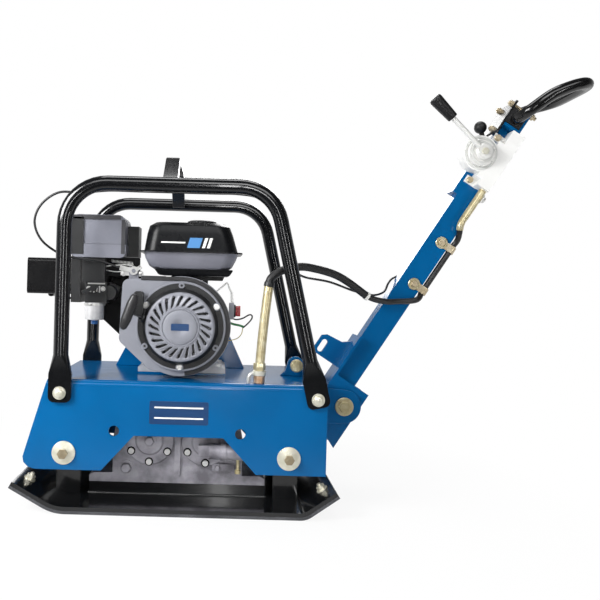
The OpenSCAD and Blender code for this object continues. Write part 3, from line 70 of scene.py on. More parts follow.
# Camera: a plain product view from the near side, level, with a slight roll.
# The frame is 600 x 600; the optical axis stands left of and above its middle.
FRAME_PX, FOCAL_PX, AXIS_PX = 600, 680, (216, 284)
lens = bpy.data.cameras.new("camera")
lens.sensor_width = 36
lens.lens = FOCAL_PX / FRAME_PX * lens.sensor_width
lens.shift_x = (FRAME_PX / 2 - AXIS_PX[0]) / FRAME_PX
lens.shift_y = (AXIS_PX[1] - FRAME_PX / 2) / FRAME_PX
camera = bpy.data.objects.new("camera", lens)
bpy.context.collection.objects.link(camera)
EYE, ROLL_DEG = (0.070, -1.530, 0.455), 1.6
level_view = Matrix.Rotation(math.radians(90), 4, "X")
camera.matrix_world = Matrix.Translation(EYE) @ level_view @ Matrix.Rotation(math.radians(ROLL_DEG), 4, "Z")
bpy.context.scene.camera = camera


# Studio: a white floor that keeps a soft shadow, a white backdrop and softboxes.
# The room behind the camera is dim, so gloss paint stays dark between its highlights.
# Mirrored rays also see one bright panel, high in front, that draws lines along the tubes.
def srgb(code):
    """Linear colour of an sRGB hex value."""
    parts = [int(code[i : i + 2], 16) / 255 for i in (1, 3, 5)]
    return (*[c / 12.92 if c <= 0.04045 else ((c + 0.055) / 1.055) ** 2.4 for c in parts], 1)


def add(tree, kind, inputs=None, **settings):
    """One node with its settings; an input is a value or the socket that feeds it."""
    made = tree.nodes.new(kind)
    for name, value in settings.items():
        setattr(made, name, value)
    for name, value in (inputs or {}).items():
        if isinstance(value, bpy.types.NodeSocket):
            tree.links.new(value, made.inputs[name])
        else:
            made.inputs[name].default_value = value
    return made


def new_material(name):
    """An empty node material and its tree."""
    made = bpy.data.materials.new(name)
    made.use_nodes = True
    made.node_tree.nodes.clear()
    return made, made.node_tree


def mirror_rays(tree):
    """The light path node, and a socket that is 1 for rays that show a mirror image."""
    rays = add(tree, "ShaderNodeLightPath")
    glossy, through = rays.outputs["Is Glossy Ray"], rays.outputs["Is Transmission Ray"]
    return rays, add(tree, "ShaderNodeMath", {0: glossy, 1: through}, operation="MAXIMUM").outputs[0]


# A Map Range node takes its limits by number: 1 and 2 are the range in, 3 and 4 the range out.
SHADOW_FROM, SHADOW_TO, FLOOR_SHARE = 0.3, 0.9, 0.88
DIM_FROM, DIM_TO, DIM_LEVEL, LIT_LEVEL = -0.85, -0.3, 0.04, 0.85
paper, tree = new_material("white_paper_sweep")
rays, mirrored = mirror_rays(tree)
seen = rays.outputs["Is Camera Ray"]
place = add(tree, "ShaderNodeTexCoord").outputs["Object"]
away = add(tree, "ShaderNodeVectorMath", {0: place}, operation="LENGTH")
fade = {"Value": away.outputs["Value"], 1: SHADOW_FROM, 2: SHADOW_TO, 3: FLOOR_SHARE, 4: 1.0}
bright = add(tree, "ShaderNodeMapRange", fade)
clear = add(tree, "ShaderNodeMath", {0: seen, 1: bright.outputs[0]}, operation="MULTIPLY")
share = add(tree, "ShaderNodeMath", {0: clear.outputs[0], 1: mirrored}, operation="MAXIMUM")
ahead = add(tree, "ShaderNodeSeparateXYZ", {0: place}).outputs["Y"]
dimmer = {"Value": ahead, 1: DIM_FROM, 2: DIM_TO, 3: DIM_LEVEL, 4: LIT_LEVEL}
dim_front = add(tree, "ShaderNodeMapRange", dimmer)
level = add(tree, "ShaderNodeMath", {0: seen, 1: dim_front.outputs[0]}, operation="MAXIMUM")
sheet = add(tree, "ShaderNodeBsdfDiffuse", {"Color": srgb("#f4f4f4")})
glow = add(tree, "ShaderNodeEmission", {"Color": srgb("#ffffff"), "Strength": level.outputs[0]})
mixed = add(tree, "ShaderNodeMixShader", {0: share.outputs[0], 1: sheet.outputs[0], 2: glow.outputs[0]})
add(tree, "ShaderNodeOutputMaterial", {"Surface": mixed.outputs[0]})
FLOOR_REACH, FLOOR_GAP = 9.0, 0.0006
floor_mesh = bpy.data.meshes.new("floor")
floor_corners = [(FLOOR_REACH * x, FLOOR_REACH * y, 0) for x, y in ((-1, -1), (1, -1), (1, 1), (-1, 1))]
floor_mesh.from_pydata(floor_corners, [], [(0, 1, 2, 3)])
floor_mesh.materials.append(paper)
floor = bpy.data.objects.new("floor", floor_mesh)
floor.location.z = -FLOOR_GAP
bpy.context.collection.objects.link(floor)

PANEL, PANEL_LEVEL, PANEL_EDGE = {"X": (-0.35, 0.5), "Z": (0.44, 0.7)}, 4.0, 0.03
FILL_LEVEL = 0.2
room = bpy.data.worlds.new("white_room")
room.use_nodes = True
tree = room.node_tree
tree.nodes.clear()
rays, mirrored = mirror_rays(tree)
aim = add(tree, "ShaderNodeSeparateXYZ", {0: add(tree, "ShaderNodeTexCoord").outputs["Generated"]})
depth = add(tree, "ShaderNodeMapRange", {"Value": aim.outputs["Y"], 1: -0.3, 2: 0.6, 3: 0.04, 4: 0.6})
height = add(tree, "ShaderNodeMapRange", {"Value": aim.outputs["Z"], 1: 0.1, 2: 0.6, 3: 1.0, 4: 0.25})
shown = add(tree, "ShaderNodeMath", {0: depth.outputs[0], 1: height.outputs[0]}, operation="MULTIPLY")
soft_fill = add(tree, "ShaderNodeBackground", {"Color": srgb("#ffffff"), "Strength": FILL_LEVEL})
in_front = {"Value": aim.outputs["Y"], 1: -0.2, 2: -0.35, 3: 0.0, 4: PANEL_LEVEL}
panel = add(tree, "ShaderNodeMapRange", in_front).outputs[0]
for axis, (low, high) in PANEL.items():
    for edge, inside in ((low, PANEL_EDGE), (high, -PANEL_EDGE)):
        side = {"Value": aim.outputs[axis], 1: edge - inside, 2: edge + inside, 3: 0.0, 4: 1.0}
        step = add(tree, "ShaderNodeMapRange", side)
        panel = add(tree, "ShaderNodeMath", {0: panel, 1: step.outputs[0]}, operation="MULTIPLY").outputs[0]
shown = add(tree, "ShaderNodeMath", {0: shown.outputs[0], 1: panel}, operation="ADD")
backdrop = add(tree, "ShaderNodeBackground", {"Color": srgb("#ffffff"), "Strength": shown.outputs[0]})
white = add(tree, "ShaderNodeBackground", {"Color": srgb("#ffffff"), "Strength": 1.0})
around = add(tree, "ShaderNodeMixShader", {0: mirrored, 1: soft_fill.outputs[0], 2: backdrop.outputs[0]})
seen = rays.outputs["Is Camera Ray"]
mixed = add(tree, "ShaderNodeMixShader", {0: seen, 1: around.outputs[0], 2: white.outputs[0]})
add(tree, "ShaderNodeOutputWorld", {"Surface": mixed.outputs[0]})
bpy.context.scene.world = room
bpy.context.scene.view_settings.view_transform = "Standard"

# Each softbox: where it stands, what it faces, its width and height, and its power in watts.
SOFTBOXES = {
    "key": ((-1.15, -1.0, 1.1), (0, 0, 0.35), (0.8, 0.65), 37),
    "front": ((0.3, -2.3, 2.0), (0.2, 0, 0.45), (0.8, 0.8), 5),
    "left_strip": ((-1.27, -1.9, 0.5), (0, 0, 0.45), (0.08, 0.96), 4),
    "leg_strip": ((0.12, -2.3, 0.5), (0, 0, 0.45), (0.1, 0.96), 6),
    "right_strip": ((1.6, -1.5, 0.5), (0, 0, 0.45), (0.09, 0.96), 5),
    "rear": ((0.5, 2.4, 1.5), (0.1, 0, 0.4), (1.2, 1.0), 24),
    "top": ((0.1, 0.3, 2.6), (0.1, 0, 0.3), (1.6, 0.8), 18),
}
for name, (place, target, size, watts) in SOFTBOXES.items():
    lamp = bpy.data.lights.new(name, "AREA")
    lamp.shape = "RECTANGLE"
    lamp.size, lamp.size_y = size
    lamp.energy = watts
    box = bpy.data.objects.new(name, lamp)
    box.location = place
    box.rotation_mode = "QUATERNION"
    box.rotation_quaternion = (Vector(target) - Vector(place)).to_track_quat("-Z", "Y")
    bpy.context.collection.objects.link(box)


# Paving mat: a slab of vulcanised crumb rubber under the plate.
# Cut edges show the grain of the crumb, so the surface is dull and pitted.
MERGE, FLAT_DEG, CREASE_DEG, CREASE_ROUNDED_DEG = 3e-6, 0.5, 34, 46


def settle(piece):
    """Turns what the modifiers give into the piece's own mesh."""
    ready = piece.evaluated_get(bpy.context.evaluated_depsgraph_get())
    old, piece.data = piece.data, bpy.data.meshes.new_from_object(ready)
    piece.modifiers.clear()
    bpy.data.meshes.remove(old)


def belong(piece, node):
    """The piece moves with a node's body."""
    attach(piece, frame["nodes"][node]["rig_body"])
    return piece


def dress(node, finish, edge=0.0):
    """A worked-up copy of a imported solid: faces merged, edges slightly rounded, normals weighted."""
    bm = bmesh.new()
    bm.from_mesh(frame["nodes"][node].data)
    bmesh.ops.remove_doubles(bm, verts=bm.verts, dist=MERGE)
    bmesh.ops.dissolve_limit(bm, angle_limit=math.radians(FLAT_DEG), verts=bm.verts, edges=bm.edges)
    mesh = bpy.data.meshes.new("work")
    bm.to_mesh(mesh)
    bm.free()
    mesh.materials.clear()
    piece = bpy.data.objects.new(node + "_finished", mesh)
    bpy.context.collection.objects.link(piece)
    if edge:
        round_off = piece.modifiers.new("edge", "BEVEL")
        round_off.width, round_off.segments = edge, 2
        round_off.limit_method, round_off.angle_limit = "ANGLE", math.radians(CREASE_DEG)
        settle(piece)
    piece.data.shade_smooth()
    piece.data.set_sharp_from_angle(angle=math.radians(CREASE_ROUNDED_DEG if edge else CREASE_DEG))
    even = piece.modifiers.new("even", "WEIGHTED_NORMAL")
    even.keep_sharp = True
    settle(piece)
    piece.data.name = piece.name
    piece.data.materials.append(finish)
    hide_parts(node)
    return belong(piece, node)


def paint_where(piece, finish, chosen):
    """A second finish on the faces whose centre is chosen."""
    piece.data.materials.append(finish)
    last = len(piece.data.materials) - 1
    for face in piece.data.polygons:
        if chosen(face.center):
            face.material_index = last


BLOOM_MM = 55.5


def rubber(name, colour, light, grain_mm, rough):
    """Vulcanised rubber: dull, with a pale bloom in patches and a grain of the given size."""
    made, tree = new_material(name)
    place = add(tree, "ShaderNodeTexCoord").outputs["Object"]
    crumb = add(tree, "ShaderNodeTexNoise", {"Vector": place, "Scale": 1000 / grain_mm, "Detail": 4.0})
    bloom = add(tree, "ShaderNodeTexNoise", {"Vector": place, "Scale": 1000 / BLOOM_MM, "Detail": 3.0})
    factors = {0: crumb.outputs["Fac"], 1: bloom.outputs["Fac"]}
    blend = add(tree, "ShaderNodeMath", factors, operation="MULTIPLY")
    tint = add(tree, "ShaderNodeValToRGB", {"Fac": blend.outputs[0]})
    tint.color_ramp.elements[0].color, tint.color_ramp.elements[1].color = srgb(colour), srgb(light)
    tint.color_ramp.elements[0].position, tint.color_ramp.elements[1].position = 0.15, 0.5
    pits = add(tree, "ShaderNodeBump", {"Height": crumb.outputs["Fac"], "Strength": 0.35, "Distance": 0.0008})
    look = {"Base Color": tint.outputs[0], "Roughness": rough, "IOR": 1.5, "Normal": pits.outputs[0]}
    skin = add(tree, "ShaderNodeBsdfPrincipled", look)
    add(tree, "ShaderNodeOutputMaterial", {"Surface": skin.outputs[0]})
    return made


crumb_rubber = rubber("crumb_rubber", "#3a3b3e", "#626367", 2.0, 0.92)
dress("paving_mat", crumb_rubber)


# Ground plate: bent steel plate in gloss black enamel, with the posts that carry the deck.
# Enamel flows a little before it sets, which leaves a faint orange peel in the reflections.
DRIFT_MM, PEEL_MM, DUST_MM = 143, 5, 25


def enamel(name, colour, shade, rough, coat, ior=1.42):
    """Stoved enamel: one colour with slow drift, a hard clear gloss, orange peel and a little dust."""
    made, tree = new_material(name)
    place = add(tree, "ShaderNodeTexCoord").outputs["Object"]
    drift = add(tree, "ShaderNodeTexNoise", {"Vector": place, "Scale": 1000 / DRIFT_MM, "Detail": 3.0})
    tint = add(tree, "ShaderNodeValToRGB", {"Fac": drift.outputs["Fac"]})
    tint.color_ramp.elements[0].color, tint.color_ramp.elements[1].color = srgb(shade), srgb(colour)
    tint.color_ramp.elements[0].position, tint.color_ramp.elements[1].position = 0.25, 0.6
    peel = add(tree, "ShaderNodeTexNoise", {"Vector": place, "Scale": 1000 / PEEL_MM, "Detail": 1.0})
    waves = add(tree, "ShaderNodeBump", {"Height": peel.outputs["Fac"], "Strength": 0.008, "Distance": 0.0006})
    specks = {"Vector": place, "Scale": 1000 / DUST_MM, "Detail": 3.0, "Roughness": 0.6}
    dust = add(tree, "ShaderNodeTexNoise", specks)
    dulling = {"Value": dust.outputs["Fac"], 1: 0.35, 2: 0.75, 3: rough, 4: rough + 0.06}
    dull = add(tree, "ShaderNodeMapRange", dulling)
    look = {"Base Color": tint.outputs[0], "Roughness": dull.outputs[0], "Normal": waves.outputs[0]}
    look |= {"IOR": ior, "Coat Weight": coat, "Coat Roughness": 0.06}
    skin = add(tree, "ShaderNodeBsdfPrincipled", look)
    add(tree, "ShaderNodeOutputMaterial", {"Surface": skin.outputs[0]})
    return made


black_enamel = enamel("black_enamel", "#101113", "#0a0b0d", 0.16, 0.5)
blue_enamel = enamel("blue_enamel", "#015991", "#015185", 0.14, 0.0, 1.36)
white_enamel = enamel("white_enamel", "#f3f3f1", "#ebebe8", 0.28, 0.4)
dress("base_plate", black_enamel, 0.0012)
dress("buffer_posts", black_enamel, 0.001)


# Welds: a fillet of overlapping ripples along a seam, laid by a node tree on the seam's line.
# The foot of the exciter is welded to the plate in black paint, whose ripples catch the light.
MM = 0.001


def grow(name, tree, points, edges, settings):
    """A plain mesh that a geometry tree makes from a line of points in millimetres."""
    mesh = bpy.data.meshes.new(name)
    mesh.from_pydata([Vector(p) * MM for p in points], edges, [])
    piece = bpy.data.objects.new(name, mesh)
    bpy.context.collection.objects.link(piece)
    made = piece.modifiers.new("grow", "NODES")
    made.node_group = tree
    for socket in tree.interface.items_tree:
        if socket.in_out == "INPUT" and socket.name in settings:
            made[socket.identifier] = settings[socket.name]
    settle(piece)
    piece.data.name = name
    return piece


def new_tree(name, **inputs):
    """An empty geometry tree with a line coming in and a mesh going out, and its input node."""
    tree = bpy.data.node_groups.new(name, "GeometryNodeTree")
    tree.interface.new_socket("Line", in_out="INPUT", socket_type="NodeSocketGeometry")
    for socket, kind in inputs.items():
        tree.interface.new_socket(socket, in_out="INPUT", socket_type="NodeSocket" + kind)
    tree.interface.new_socket("Mesh", in_out="OUTPUT", socket_type="NodeSocketGeometry")
    return tree, add(tree, "NodeGroupInput").outputs


def end_tree(tree, geometry, finish):
    """Real geometry with its material, smooth shaded."""
    smooth = add(tree, "GeometryNodeSetShadeSmooth", {"Geometry": geometry})
    real = add(tree, "GeometryNodeRealizeInstances", {"Geometry": smooth.outputs[0]})
    coated = add(tree, "GeometryNodeSetMaterial", {"Geometry": real.outputs[0], "Material": finish})
    add(tree, "NodeGroupOutput", {"Mesh": coated.outputs[0]})


bead_tree, given = new_tree("weld_bead", Radius="Float", Pitch="Float", Finish="Material")
seam = add(bead_tree, "GeometryNodeMeshToCurve", {"Mesh": given["Line"]})
spaced = {"Curve": seam.outputs[0], "Length": given["Pitch"]}
steps = add(bead_tree, "GeometryNodeCurveToPoints", spaced, mode="LENGTH")
drop = add(bead_tree, "GeometryNodeMeshIcoSphere", {"Radius": given["Radius"], "Subdivisions": 2})
uneven = add(bead_tree, "FunctionNodeRandomValue", {2: 0.8, 3: 1.15}, data_type="FLOAT")
ripples = {"Points": steps.outputs[0], "Instance": drop.outputs[0], "Scale": uneven.outputs[1]}
laid = add(bead_tree, "GeometryNodeInstanceOnPoints", ripples)
end_tree(bead_tree, laid.outputs[0], given["Finish"])


def weld(name, node, finish, points, radius=2.2):
    """A fillet weld along a line of points, on a node's body."""
    edges = [(i, i + 1) for i in range(len(points) - 1)]
    sizes = {"Radius": radius * MM, "Pitch": radius * 1.3 * MM, "Finish": finish}
    return belong(grow(name, bead_tree, points, edges, sizes), node)


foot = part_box("exciter_housing")
foot_x, plate_top = foot[1][0] / MM, foot[0][2] / MM
FOOT_SET_BACK = 11
foot_y = foot[0][1] / MM + FOOT_SET_BACK
foot_seam = [(-foot_x, foot_y, plate_top), (foot_x, foot_y, plate_top)]
weld("exciter_foot_weld", "base_plate", black_enamel, foot_seam, 3.6)


# Exciter: an iron sand casting with two bolted bearing covers, a rib and screwed plugs.
# Sand leaves a rough, uneven skin; it is painted thin with grey in blotches, and black discs round the cover
# screws are painted shadow.
BLOTCH_MM = 38.5


def casting(name, colour, shade, grain_mm, rough, metal):
    """A cast skin: sand grain and slow blotches."""
    made, tree = new_material(name)
    place = add(tree, "ShaderNodeTexCoord").outputs["Object"]
    sand = add(tree, "ShaderNodeTexNoise", {"Vector": place, "Scale": 1000 / grain_mm, "Detail": 5.0})
    blotch = add(tree, "ShaderNodeTexNoise", {"Vector": place, "Scale": 1000 / BLOTCH_MM, "Detail": 4.0})
    tint = add(tree, "ShaderNodeValToRGB", {"Fac": blotch.outputs["Fac"]})
    tint.color_ramp.elements[0].color, tint.color_ramp.elements[1].color = srgb(shade), srgb(colour)
    tint.color_ramp.elements[0].position, tint.color_ramp.elements[1].position = 0.34, 0.62
    grit = add(tree, "ShaderNodeBump", {"Height": sand.outputs["Fac"], "Strength": 0.5, "Distance": 0.001})
    look = {"Base Color": tint.outputs[0], "Roughness": rough, "Metallic": metal, "Normal": grit.outputs[0]}
    skin = add(tree, "ShaderNodeBsdfPrincipled", look)
    add(tree, "ShaderNodeOutputMaterial", {"Surface": skin.outputs[0]})
    return made


def lathe(name, node, finish, profile, at, axis, steps=32):
    """A turned piece: pairs of radius and height in millimetres, spun about an axis through a point."""
    bm = bmesh.new()
    rows = []
    for radius, height in profile:
        around = steps if radius > 0 else 1
        angles = (2 * math.pi * i / around for i in range(around))
        rows.append([bm.verts.new((radius * math.cos(a), radius * math.sin(a), height)) for a in angles])
    for low, high in zip(rows, rows[1:]):
        for i in range(steps):
            corners = [low[i % len(low)], low[(i + 1) % steps % len(low)]]
            corners += [high[(i + 1) % steps % len(high)], high[i % len(high)]]
            corners = list(dict.fromkeys(corners))
            if len(corners) > 2:
                bm.faces.new(corners)
    turn = Vector(axis).to_track_quat("Z", "Y").to_matrix().to_4x4()
    bm.transform(Matrix.Scale(MM, 4) @ Matrix.Translation(at) @ turn)
    return finished(bm, name, node, finish)


def finished(bm, name, node, finish, sharp=35):
    """The piece that a bmesh describes, smooth up to an angle, on a node's body."""
    bmesh.ops.recalc_face_normals(bm, faces=bm.faces)
    mesh = bpy.data.meshes.new(name)
    bm.to_mesh(mesh)
    bm.free()
    mesh.shade_smooth()
    mesh.set_sharp_from_angle(angle=math.radians(sharp))
    mesh.materials.append(finish)
    piece = bpy.data.objects.new(name, mesh)
    bpy.context.collection.objects.link(piece)
    return belong(piece, node)


def hex_head(name, node, finish, at, axis, across, high):
    """A hexagon head on a pressed washer, with a turned chamfer on top."""
    wide = across / math.sqrt(3)
    rim = [(0, 0), (wide * 1.5, 0), (wide * 1.5, high * 0.2), (wide * 1.05, high * 0.24)]
    lathe(name + "_washer", node, finish, rim, at, axis, 24)
    head = [(wide, high * 0.2), (wide, high * 0.85), (wide * 0.84, high), (0, high)]
    return lathe(name, node, finish, head, at, axis, 6)


def plate(name, node, finish, low, high, round_mm=3.0):
    """A thin plate between two corners in millimetres, with rounded corners in X and Z."""
    bm = bmesh.new()
    bmesh.ops.create_cube(bm, size=1)
    size, middle = Vector(high) - Vector(low), (Vector(high) + Vector(low)) / 2
    bm.transform(Matrix.Translation(middle) @ Matrix.Diagonal((*size, 1)))
    upright = [e for e in bm.edges if abs((e.verts[0].co - e.verts[1].co).y) > 0.9 * size.y]
    bmesh.ops.bevel(bm, geom=upright, offset=round_mm, segments=5, affect="EDGES", profile=0.5)
    bm.transform(Matrix.Scale(MM, 4))
    return finished(bm, name, node, finish)


disc_tree, given = new_tree("discs", Radius="Float", Depth="Float", Finish="Material")
spots = add(disc_tree, "GeometryNodeMeshToPoints", {"Mesh": given["Line"]})
coin = {"Vertices": 24, "Radius": given["Radius"], "Depth": given["Depth"]}
disc = add(disc_tree, "GeometryNodeMeshCylinder", coin)
facing = {"Points": spots.outputs[0], "Instance": disc.outputs[0], "Rotation": (math.radians(90), 0, 0)}
end_tree(disc_tree, add(disc_tree, "GeometryNodeInstanceOnPoints", facing).outputs[0], given["Finish"])

dark_iron = casting("painted_cast_iron", "#9c9aa2", "#66646b", 3.0, 0.42, 0.2)
die_cast = casting("die_cast_aluminium", "#d3d3d4", "#b2b3b6", 1.6, 0.4, 0.4)
housing = dress("exciter_housing", dark_iron, 0.0012)
FOOT_TOP = 39.5
paint_where(housing, black_enamel, lambda centre: centre.z < FOOT_TOP * MM)
dress("bearing_covers", dark_iron, 0.0014)
house_y = foot[0][1] / MM + 5
NEAR = (0, -1, 0)
SHAFT_X, SHAFT_Z, SCREW_CIRCLE, SCREW_SHADOW_Y = 58, 128, 43, -126.2
hex_head("oil_plug", "exciter_housing", dark_iron, (-106, house_y, 69), NEAR, 19, 9)
hex_head("level_plug", "exciter_housing", dark_iron, (-SHAFT_X, house_y - 12, SHAFT_Z), NEAR, 17, 8)
BOSS = [(24, 0), (24, 2), (27, 2.4), (29, 0)]
screw_shadow_spots = []
for end, x in (("front", -SHAFT_X), ("rear", SHAFT_X)):
    lathe("cover_boss_" + end, "bearing_covers", dark_iron, BOSS, (x, house_y - 8, SHAFT_Z), NEAR, 48)
    for turn in (math.radians(d) for d in range(30, 390, 60)):
        screw_shadow_spots.append((x + SCREW_CIRCLE * math.cos(turn), SCREW_SHADOW_Y, SHAFT_Z + SCREW_CIRCLE * math.sin(turn)))
# Black discs behind the cover screws are painted shadow in the screw recesses.
screw_shadow_sizes = {"Radius": 8.6 * MM, "Depth": 0.8 * MM, "Finish": black_enamel}
belong(grow("cover_screw_shadows", disc_tree, screw_shadow_spots, [], screw_shadow_sizes), "bearing_covers")
plate("drain_plate", "exciter_housing", dark_iron, (72, house_y - 6, 68), (118, house_y, 83), 2.0)
hex_head("drain_plug", "exciter_housing", dark_iron, (83, house_y - 6, 75), NEAR, 10, 6)


# Turned steel: shafts, gears, bearings, pistons and plain screws.
# A tool leaves fine rings; under light oil they read as soft streaks.
# Real rings are too fine to show, so the streaks are drawn 17 mm wide and 83 mm long.
STREAK = (1000 / 16.7, 1000 / 83.3, 1000 / 16.7)


def turned(name, colour, shade, rough, metal=0.6):
    """Machined bright metal with fine uneven streaks."""
    made, tree = new_material(name)
    place = add(tree, "ShaderNodeTexCoord").outputs["Object"]
    stretch = add(tree, "ShaderNodeMapping", {"Vector": place, "Scale": STREAK})
    streak = add(tree, "ShaderNodeTexNoise", {"Vector": stretch.outputs[0], "Scale": 1.0, "Detail": 6.0})
    tint = add(tree, "ShaderNodeValToRGB", {"Fac": streak.outputs["Fac"]})
    tint.color_ramp.elements[0].color, tint.color_ramp.elements[1].color = srgb(shade), srgb(colour)
    dulling = {"Value": streak.outputs["Fac"], 1: 0.3, 2: 0.7, 3: rough - 0.05, 4: rough + 0.08}
    dull = add(tree, "ShaderNodeMapRange", dulling)
    look = {"Base Color": tint.outputs[0], "Roughness": dull.outputs[0], "Metallic": metal}
    skin = add(tree, "ShaderNodeBsdfPrincipled", look)
    add(tree, "ShaderNodeOutputMaterial", {"Surface": skin.outputs[0]})
    return made


bright_steel = turned("bright_steel", "#dcdcda", "#c2c2c0", 0.3)
TURNED = ["exciter_bearings", "front_eccentric", "front_gear", "rear_eccentric", "rear_gear", "shift_piston"]
TURNED += ["rack_piston", "crankshaft", "throttle_arm", "machine_screws"]
for node in TURNED:
    dress(node, bright_steel, 0.0004)
dress("shift_cylinder", dark_iron, 0.0008)
dress("flywheel", die_cast, 0.0008)


# Belt drive: a ribbed rubber belt on two pressed pulleys painted satin black.
# The pulleys run under the guard and only show from the far side and below.
satin_black = enamel("satin_black_paint", "#141517", "#0f1011", 0.28, 0.0)
belt_rubber = rubber("belt_rubber", "#151516", "#2b2b2c", 1.5, 0.8)
dress("v_belt", belt_rubber)
for node in ("driven_pulley", "clutch_pulley"):
    dress(node, satin_black, 0.0006)


# Buffers and frame bolts: rubber blocks between plate and deck, with chromated bolts and washers.
# The chromate film is thin, so pale gold drifts from patch to patch; the bolt heads are older.
FILM_MM = 14.3


def chromate(name, deep, mid, light, rough):
    """Zinc under a thin chromate film whose tint drifts."""
    made, tree = new_material(name)
    place = add(tree, "ShaderNodeTexCoord").outputs["Object"]
    film = add(tree, "ShaderNodeTexNoise", {"Vector": place, "Scale": 1000 / FILM_MM, "Detail": 3.0})
    tint = add(tree, "ShaderNodeValToRGB", {"Fac": film.outputs["Fac"]})
    ramp = tint.color_ramp
    ramp.elements[0].color, ramp.elements[1].color = srgb(deep), srgb(light)
    ramp.elements[0].position, ramp.elements[1].position = 0.3, 0.7
    ramp.elements.new(0.5).color = srgb(mid)
    look = {"Base Color": tint.outputs[0], "Roughness": rough, "Metallic": 0.6}
    skin = add(tree, "ShaderNodeBsdfPrincipled", look)
    add(tree, "ShaderNodeOutputMaterial", {"Surface": skin.outputs[0]})
    return made


gold_zinc = chromate("yellow_chromated_zinc", "#b8aa82", "#cbbf98", "#dcd5b6", 0.3)
pale_zinc = chromate("pale_chromated_zinc", "#d2cfbc", "#dedbca", "#e8e6da", 0.36)
soft_rubber = rubber("buffer_rubber", "#161617", "#2c2c2e", 4.0, 0.75)
dress("rubber_buffers", soft_rubber, 0.001)
bolts = dress("frame_bolts", pale_zinc, 0.0006)
aged_zinc = chromate("aged_chromated_zinc", "#8f8269", "#a89a80", "#c2b698", 0.3)
HEADS_FROM_Y, HEADS_BELOW_Z = 179.3 * MM, 150 * MM
paint_where(bolts, aged_zinc, lambda centre: abs(centre.y) > HEADS_FROM_Y and centre.z < HEADS_BELOW_Z)
for node in ("pivot_bolt", "pivot_bushes", "hydraulic_line"):
    dress(node, gold_zinc, 0.0005)
UP = (0, 0, 1)
drain = [(0, 0), (6, 0), (6, 7), (3.6, 8), (3.6, 34), (0, 34)]
lathe("shift_drain", "shift_cylinder", gold_zinc, drain, (125, -140, 69), UP, 20)
worn_zinc = chromate("worn_chromated_zinc", "#b9a888", "#cdbd9e", "#e0d4ba", 0.34)
fixings = dress("handle_fixings", worn_zinc, 0.0005)


# Deck: folded sheet in blue enamel with the brackets welded to it.
# A bare navy panel with two white lines sits on the near skirt.
for node in ("deck", "pivot_bracket", "lock_bracket", "belt_guard"):
    dress(node, blue_enamel, 0.0016)
dress("handle_stop", soft_rubber, 0.001)
dress("lock_pin", gold_zinc, 0.0004)
skirt_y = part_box("deck")[0][1] / MM
navy_film = enamel("navy_film", "#123a66", "#0f3560", 0.3, 0.3)
plate("side_panel", "deck", navy_film, (-56, skirt_y - 0.5, 172), (62, skirt_y, 218))
for k, z in enumerate((183, 204)):
    low, high = (-46, skirt_y - 0.8, z), (52, skirt_y - 0.5, z + 3)
    plate("side_panel_line_%d" % k, "deck", white_enamel, low, high, 1.0)
BRACKET_X, BRACKET_Z = 300.5, (160, 226)
for side, y in (("near", -51), ("far", 51)):
    weld("bracket_weld_" + side, "pivot_bracket", blue_enamel, [(BRACKET_X, y, z) for z in BRACKET_Z])

# Hoops: bent tube in gloss black enamel, pressed flat at the feet.
# The tube's bends are drawn, without a crease; the arch between them takes the hook.
for node in ("near_hoop", "far_hoop"):
    dress(node, black_enamel)
dress("lifting_arch", black_enamel, 0.001)

# Engine block: die-cast crankcase and finned head with black tin work and muffler.
# Bare alloy shows at the feet; the head and the tin carry a heat paint with little gloss.
dress("crankcase", die_cast, 0.001)
heat_black = enamel("black_heat_paint", "#101011", "#0b0b0c", 0.22, 0.0, 1.3)
for node in ("cylinder_head", "cooling_shroud", "muffler"):
    dress(node, heat_black, 0.0008)


# Fan cover: pressed steel in mid grey with a fine leather grain, edged by a black band of painted shade.
# The grain scatters the light, so the grey looks even and soft; it is drawn coarser than it is,
# so that it shows. The painted shade runs round the rim and on along the top edge.
TINT_MM = 50


def grained(name, colour, shade, grain_mm, rough):
    """Moulded or powder-coated skin with a fine leather grain."""
    made, tree = new_material(name)
    place = add(tree, "ShaderNodeTexCoord").outputs["Object"]
    cells = add(tree, "ShaderNodeTexVoronoi", {"Vector": place, "Scale": 1000 / grain_mm})
    drift = add(tree, "ShaderNodeTexNoise", {"Vector": place, "Scale": 1000 / TINT_MM, "Detail": 3.0})
    tint = add(tree, "ShaderNodeValToRGB", {"Fac": drift.outputs["Fac"]})
    tint.color_ramp.elements[0].color, tint.color_ramp.elements[1].color = srgb(shade), srgb(colour)
    tint.color_ramp.elements[0].position, tint.color_ramp.elements[1].position = 0.3, 0.65
    leather = {"Height": cells.outputs["Distance"], "Strength": 0.18, "Distance": 0.0005}
    hide = add(tree, "ShaderNodeBump", leather)
    look = {"Base Color": tint.outputs[0], "Roughness": rough, "IOR": 1.5, "Normal": hide.outputs[0]}
    skin = add(tree, "ShaderNodeBsdfPrincipled", look)
    add(tree, "ShaderNodeOutputMaterial", {"Surface": skin.outputs[0]})
    return made


